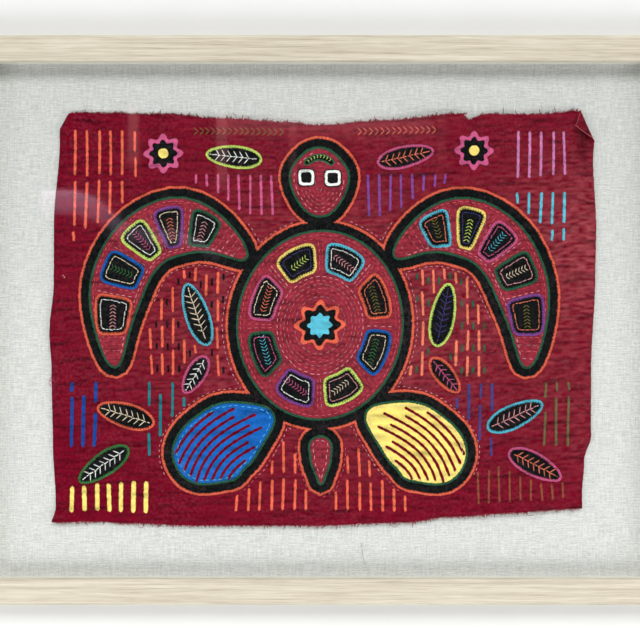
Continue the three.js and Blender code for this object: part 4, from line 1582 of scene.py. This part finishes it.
# %% Raw edges, loose threads and lint
FRAY_ENDS, FRAY_WIDE, FRAY_LEVEL = 1300, 0.5, -0.25
FRAY_DYES = {1: linear(118, 14, 38), -1: linear(150, 62, 70)}
FLAP_DYE, FLAP_RISE = linear(196, 96, 108), 1.9
FLAP_EDGES = (
    # shares along the cloth, shares up it, width of the thread
    (np.ones(24), np.linspace(0.936, 1, 24), 0.62),
    (np.linspace(0.975, 1, 16), np.ones(16), 0.42),
)
LOOSE_STEP, LOOSE_LEVEL, LOOSE_WIDE = 1.1, 0.35, 0.34
LOOSE = (
    # start x and y, run in degrees, turn for each step, steps, dye
    (-206, -44, 200, 38, 16, "rose"),
    (-204.5, -47, -70, -30, 9, "rose"),
    (-64, 154.5, 95, 14, 5, "maroon"),
    (-190, 151, 130, -20, 6, "maroon"),
    (-140, -157, -80, 25, 8, "maroon"),
    (60, -156, -100, -22, 7, "maroon"),
    (158, -148, -60, 18, 6, "maroon"),
    (32, -171, -88, 1, 16, "grey"),
)
LINT = (
    (-198, 34), (-197, 32.6), (-90, 71), (-67, 74), (-150, 66), (12, -112), (60, 40), (150, 24), (-20, 62),
)

thread_rows = []
for climb, sign in ((1, 1), (0, -1)):
    x, y = spot(hand.uniform(0.01, 0.99, FRAY_ENDS), climb)
    start = np.column_stack((x, y - sign * 0.5))
    size = hand.gamma(2.5, 0.34, FRAY_ENDS) * (1 + 0.7 * np.sin(x / 1.3) * np.sin(x / 3.1)) + 0.9
    lean = hand.normal(0, 0.5, FRAY_ENDS)
    end = start + np.column_stack((size * np.sin(lean), sign * size * np.cos(lean)))
    inside = (x > WORN_TOP.x) & (x < FOLD_TOP.x - 1) | (sign < 0)
    lay(thread_rows, start[inside], end[inside], FRAY_LEVEL, FRAY_WIDE, FRAY_DYES[sign])
for shares, climbs, wide in FLAP_EDGES:
    flap_edge = [roll_over(Vector(place)) for place in zip(*spot(shares, climbs))]
    for (here, rise), (ahead, _) in zip(flap_edge, flap_edge[1:]):
        if rise > FLAP_RISE:
            lay(thread_rows, here, ahead, rise + GROUND_THICK, wide, FLAP_DYE)
for x, y, run, turn, steps, dye in LOOSE:
    for step in range(steps):
        ahead = np.array((math.cos(math.radians(run)), math.sin(math.radians(run)))) * LOOSE_STEP
        end = (x + ahead[0] * 1.25, y + ahead[1] * 1.25)
        lay(thread_rows, (x, y), end, LOOSE_LEVEL, LOOSE_WIDE, DYES[dye])
        x, y, run = x + ahead[0], y + ahead[1], run + turn
for x, y in LINT:
    lay(thread_rows, (x, y), (x + 0.9, y + 0.5), 0.5, 0.6, DYES["cream"])
wind(thread_rows, "raw_edge_threads")

# %% [markdown]
# ## Glass and wood
# Picture glass is thin and clear, so it is a mix of see-through and gloss, mixed by the Fresnel term: it
# mirrors little from the front and more at a slant. Light is not bent on its way in, so the term has to be
# the same on the way out, or slanting light would stay in the glass.

# %% Glass
GLASS_INDEX = 1.5
CLEAR_TINT = (0.985, 0.995, 0.99, 1)


def glass_finish():
    """Clear thin glass, with a faint smear in its gloss."""
    item = bpy.data.materials.new("clear_glass")
    item.use_nodes = True
    tree = item.node_tree
    tree.nodes.clear()
    smear = speckle(tree, object_place(tree), 6.0, 2.0)
    rough = spread(tree, smear, 0.3, 0.7, 0.01, 0.05)
    gloss = node(tree, "ShaderNodeBsdfGlossy", {"Color": (1, 1, 1, 1), "Roughness": rough})
    clear = node(tree, "ShaderNodeBsdfTransparent", {"Color": CLEAR_TINT})
    leaving = node(tree, "ShaderNodeNewGeometry").outputs["Backfacing"]
    index = spread(tree, leaving, 0, 1, GLASS_INDEX, 1 / GLASS_INDEX)
    share = node(tree, "ShaderNodeFresnel", {"IOR": index}).outputs[0]
    mixed = node(tree, "ShaderNodeMixShader", {0: share, 1: clear.outputs[0], 2: gloss.outputs[0]})
    node(tree, "ShaderNodeOutputMaterial", {"Surface": mixed.outputs[0]})
    return item


def dress(name, material):
    """Gives a frame solid its finish."""
    nodes[name].data.materials.clear()
    nodes[name].data.materials.append(material)
    print(name, "has", material.name)


dress("glazing", glass_finish())

# %% [markdown]
# Even good glass shows a little of the room. Here that is a pale soft shape at the left and a few narrow
# upright strips near the top, far too faint to hide the cloth. The shapes hang high above the camera as
# glowing cards that only a mirror can see. A point on the glass is sent to its place on the card by how much
# higher the card hangs.

# %% The room in the glass
CARD_RISE, GLASS_LEVEL, CARD_ABOVE = 2000, 9, 20
MIRROR = 1 + CARD_RISE / (CAMERA_RISE - GLASS_LEVEL)
VEIL_TOP = (
    # x, y, depth of the fade, strength
    (-212, 99, 20, 1.0), (-187, 99, 20, 1.0), (-172, 94, 20, 0.9), (-163, 87, 17, 0.7), (-154, 78, 15, 0.5),
    (-142, 70, 12, 0.35), (-125, 68, 12, 0.45), (-107, 68, 12, 0.4), (-95, 63, 10, 0.35), (-84, 56, 8, 0.25),
    (-76, 49, 5, 0.05),
)
VEIL_FADE = ((0, 0), (0.03, 1), (0.3, 0.54), (0.75, 0.4), (1, 0))
VEIL_SHINE = 2.1
STRIPS = (
    # left, right, low, high, strength
    (-146, -138.2, 112, 162, 1.1),
    (-79, -70.7, 96, 158, 0.8),
    (-23.6, -18.3, 108, 152, 0.35),
    (89, 95.8, 112, 158, 0.3),
    (-79, 87, 136, 154, 0.65),
)
STRIP_FADE = 12
VEIL_TINT, STRIP_TINT = np.array((1.25, 0.86, 1.2)), np.array((1.0, 0.42, 0.43))

bm = bmesh.new()
glow = bm.verts.layers.float_color.new("glow")


def card_vert(x, y, light, level=0):
    """A corner of a card, from its place on the glass. Each card hangs at a level of its own."""
    vert = bm.verts.new((x * MIRROR, y * MIRROR, CARD_RISE + CARD_ABOVE + level))
    vert[glow] = (*light, 1)
    return vert


columns = []
for x, y, deep, strength in VEIL_TOP:
    columns.append([card_vert(x, y - deep * down, VEIL_SHINE * strength * share * VEIL_TINT)
                    for down, share in VEIL_FADE])
for one, other in zip(columns, columns[1:]):
    for i in range(len(VEIL_FADE) - 1):
        bm.faces.new((one[i], other[i], other[i + 1], one[i + 1]))
for i, (left, right, low, high, strength) in enumerate(STRIPS):
    levels = ((high, strength), (low + STRIP_FADE, strength), (low, 0))
    rows = [[card_vert(x, y, share * STRIP_TINT, i + 1) for x in (left, right)] for y, share in levels]
    for one, other in zip(rows, rows[1:]):
        bm.faces.new((*one, *reversed(other)))
bmesh.ops.scale(bm, vec=(MM, MM, MM), verts=bm.verts)

glowing = bpy.data.materials.new("glowing_card")
glowing.use_nodes = True
tree = glowing.node_tree
tree.nodes.clear()
light = node(tree, "ShaderNodeAttribute", attribute_name="glow").outputs["Color"]
shine = node(tree, "ShaderNodeEmission", {"Color": light, "Strength": 1.0})
see_through = node(tree, "ShaderNodeBsdfTransparent", {"Color": (1, 1, 1, 1)})
both = node(tree, "ShaderNodeAddShader", {0: shine.outputs[0], 1: see_through.outputs[0]})
node(tree, "ShaderNodeOutputMaterial", {"Surface": both.outputs[0]})

cards = put("room_cards", mesh_of(bm, "room_cards"))
cards.data.materials.append(glowing)
for kind in ("camera", "diffuse", "transmission", "volume_scatter", "shadow"):
    setattr(cards, "visible_" + kind, False)
print("card faces", len(cards.data.polygons))

# %% [markdown]
# ## Wood and board
# The rails are pale limed wood, with grain along each rail, pores as fine dark strokes and a slow change of
# tone. The spacers, the boards behind the cloth and the floor use the same function with other colours and
# with grain that is alike in all directions, which reads as card.

# %% Wood, boards and floor
LIMED_PALE, LIMED_DARK = (212, 204, 186), (170, 158, 136)
PORE_FINE = 3.2
WOODS = (
    # finish, scales of its grain, pale and dark screen colour, the solids that have it
    ("limed_wood_long", (14, 520, 520), LIMED_PALE, LIMED_DARK, ("rail_top", "rail_bottom")),
    ("limed_wood_short", (520, 14, 520), LIMED_PALE, LIMED_DARK, ("rail_left", "rail_right")),
    ("spacer_card", (200, 200, 200), (236, 233, 224), (222, 218, 208),
     ("spacer_left", "spacer_right", "spacer_top", "spacer_bottom")),
    ("brown_board", (300, 300, 300), (150, 122, 88), (120, 96, 68), ("back_board",)),
    ("grey_card", (240, 240, 240), (214, 214, 206), (198, 198, 190), ("linen_board",)),
)


def wood_finish(name, grain_scale, pale, dark):
    """Limed wood with its grain drawn out along one direction, between two screen colours."""
    item, tree, surface = new_material(name)
    place = object_place(tree)
    grain = speckle(tree, drawn(tree, place, grain_scale), 1.0, 5.0, Roughness=0.6, Distortion=0.5)
    pores = speckle(tree, drawn(tree, place, tuple(PORE_FINE * c for c in grain_scale)), 1.0, 2.0)
    marks = spread(tree, pores, 0.52, 0.66, 0, 1)
    share = number(tree, "ADD", spread(tree, grain, 0.35, 0.68, 0, 0.7), number(tree, "MULTIPLY", marks, 0.3))
    colour = blend(tree, share, (*linear(*pale), 1), (*linear(*dark), 1))
    high = number(tree, "SUBTRACT", number(tree, "MULTIPLY", grain, 0.4), marks)
    fill(tree, surface, {"Base Color": colour, "Normal": bump(tree, high, 0.35, 0.2), "Roughness": 0.55})
    return item


for name, grain_scale, pale, dark, solids in WOODS:
    material = wood_finish(name, grain_scale, pale, dark)
    for solid in solids:
        dress(solid, material)
floor_finish = wood_finish("pale_floor", (3, 3, 3), (232, 232, 230), (228, 228, 226))
floor.data.materials.append(floor_finish)

# %% [markdown]
# ## The panel as one cloth
# Everything that is sewn on belongs to the ground cloth, which was cut a little larger than it lies now,
# because the creases and the rolled corner take some of it up. The names of the cut sheets, the linen among
# them, are collected in a set.

own_sheets = {"linen_cover", "ground_cloth_sheet", "orange_edging_layer", "black_layer_sheet"}
own_sheets |= {name + "_sheet" for name in FIELDS}
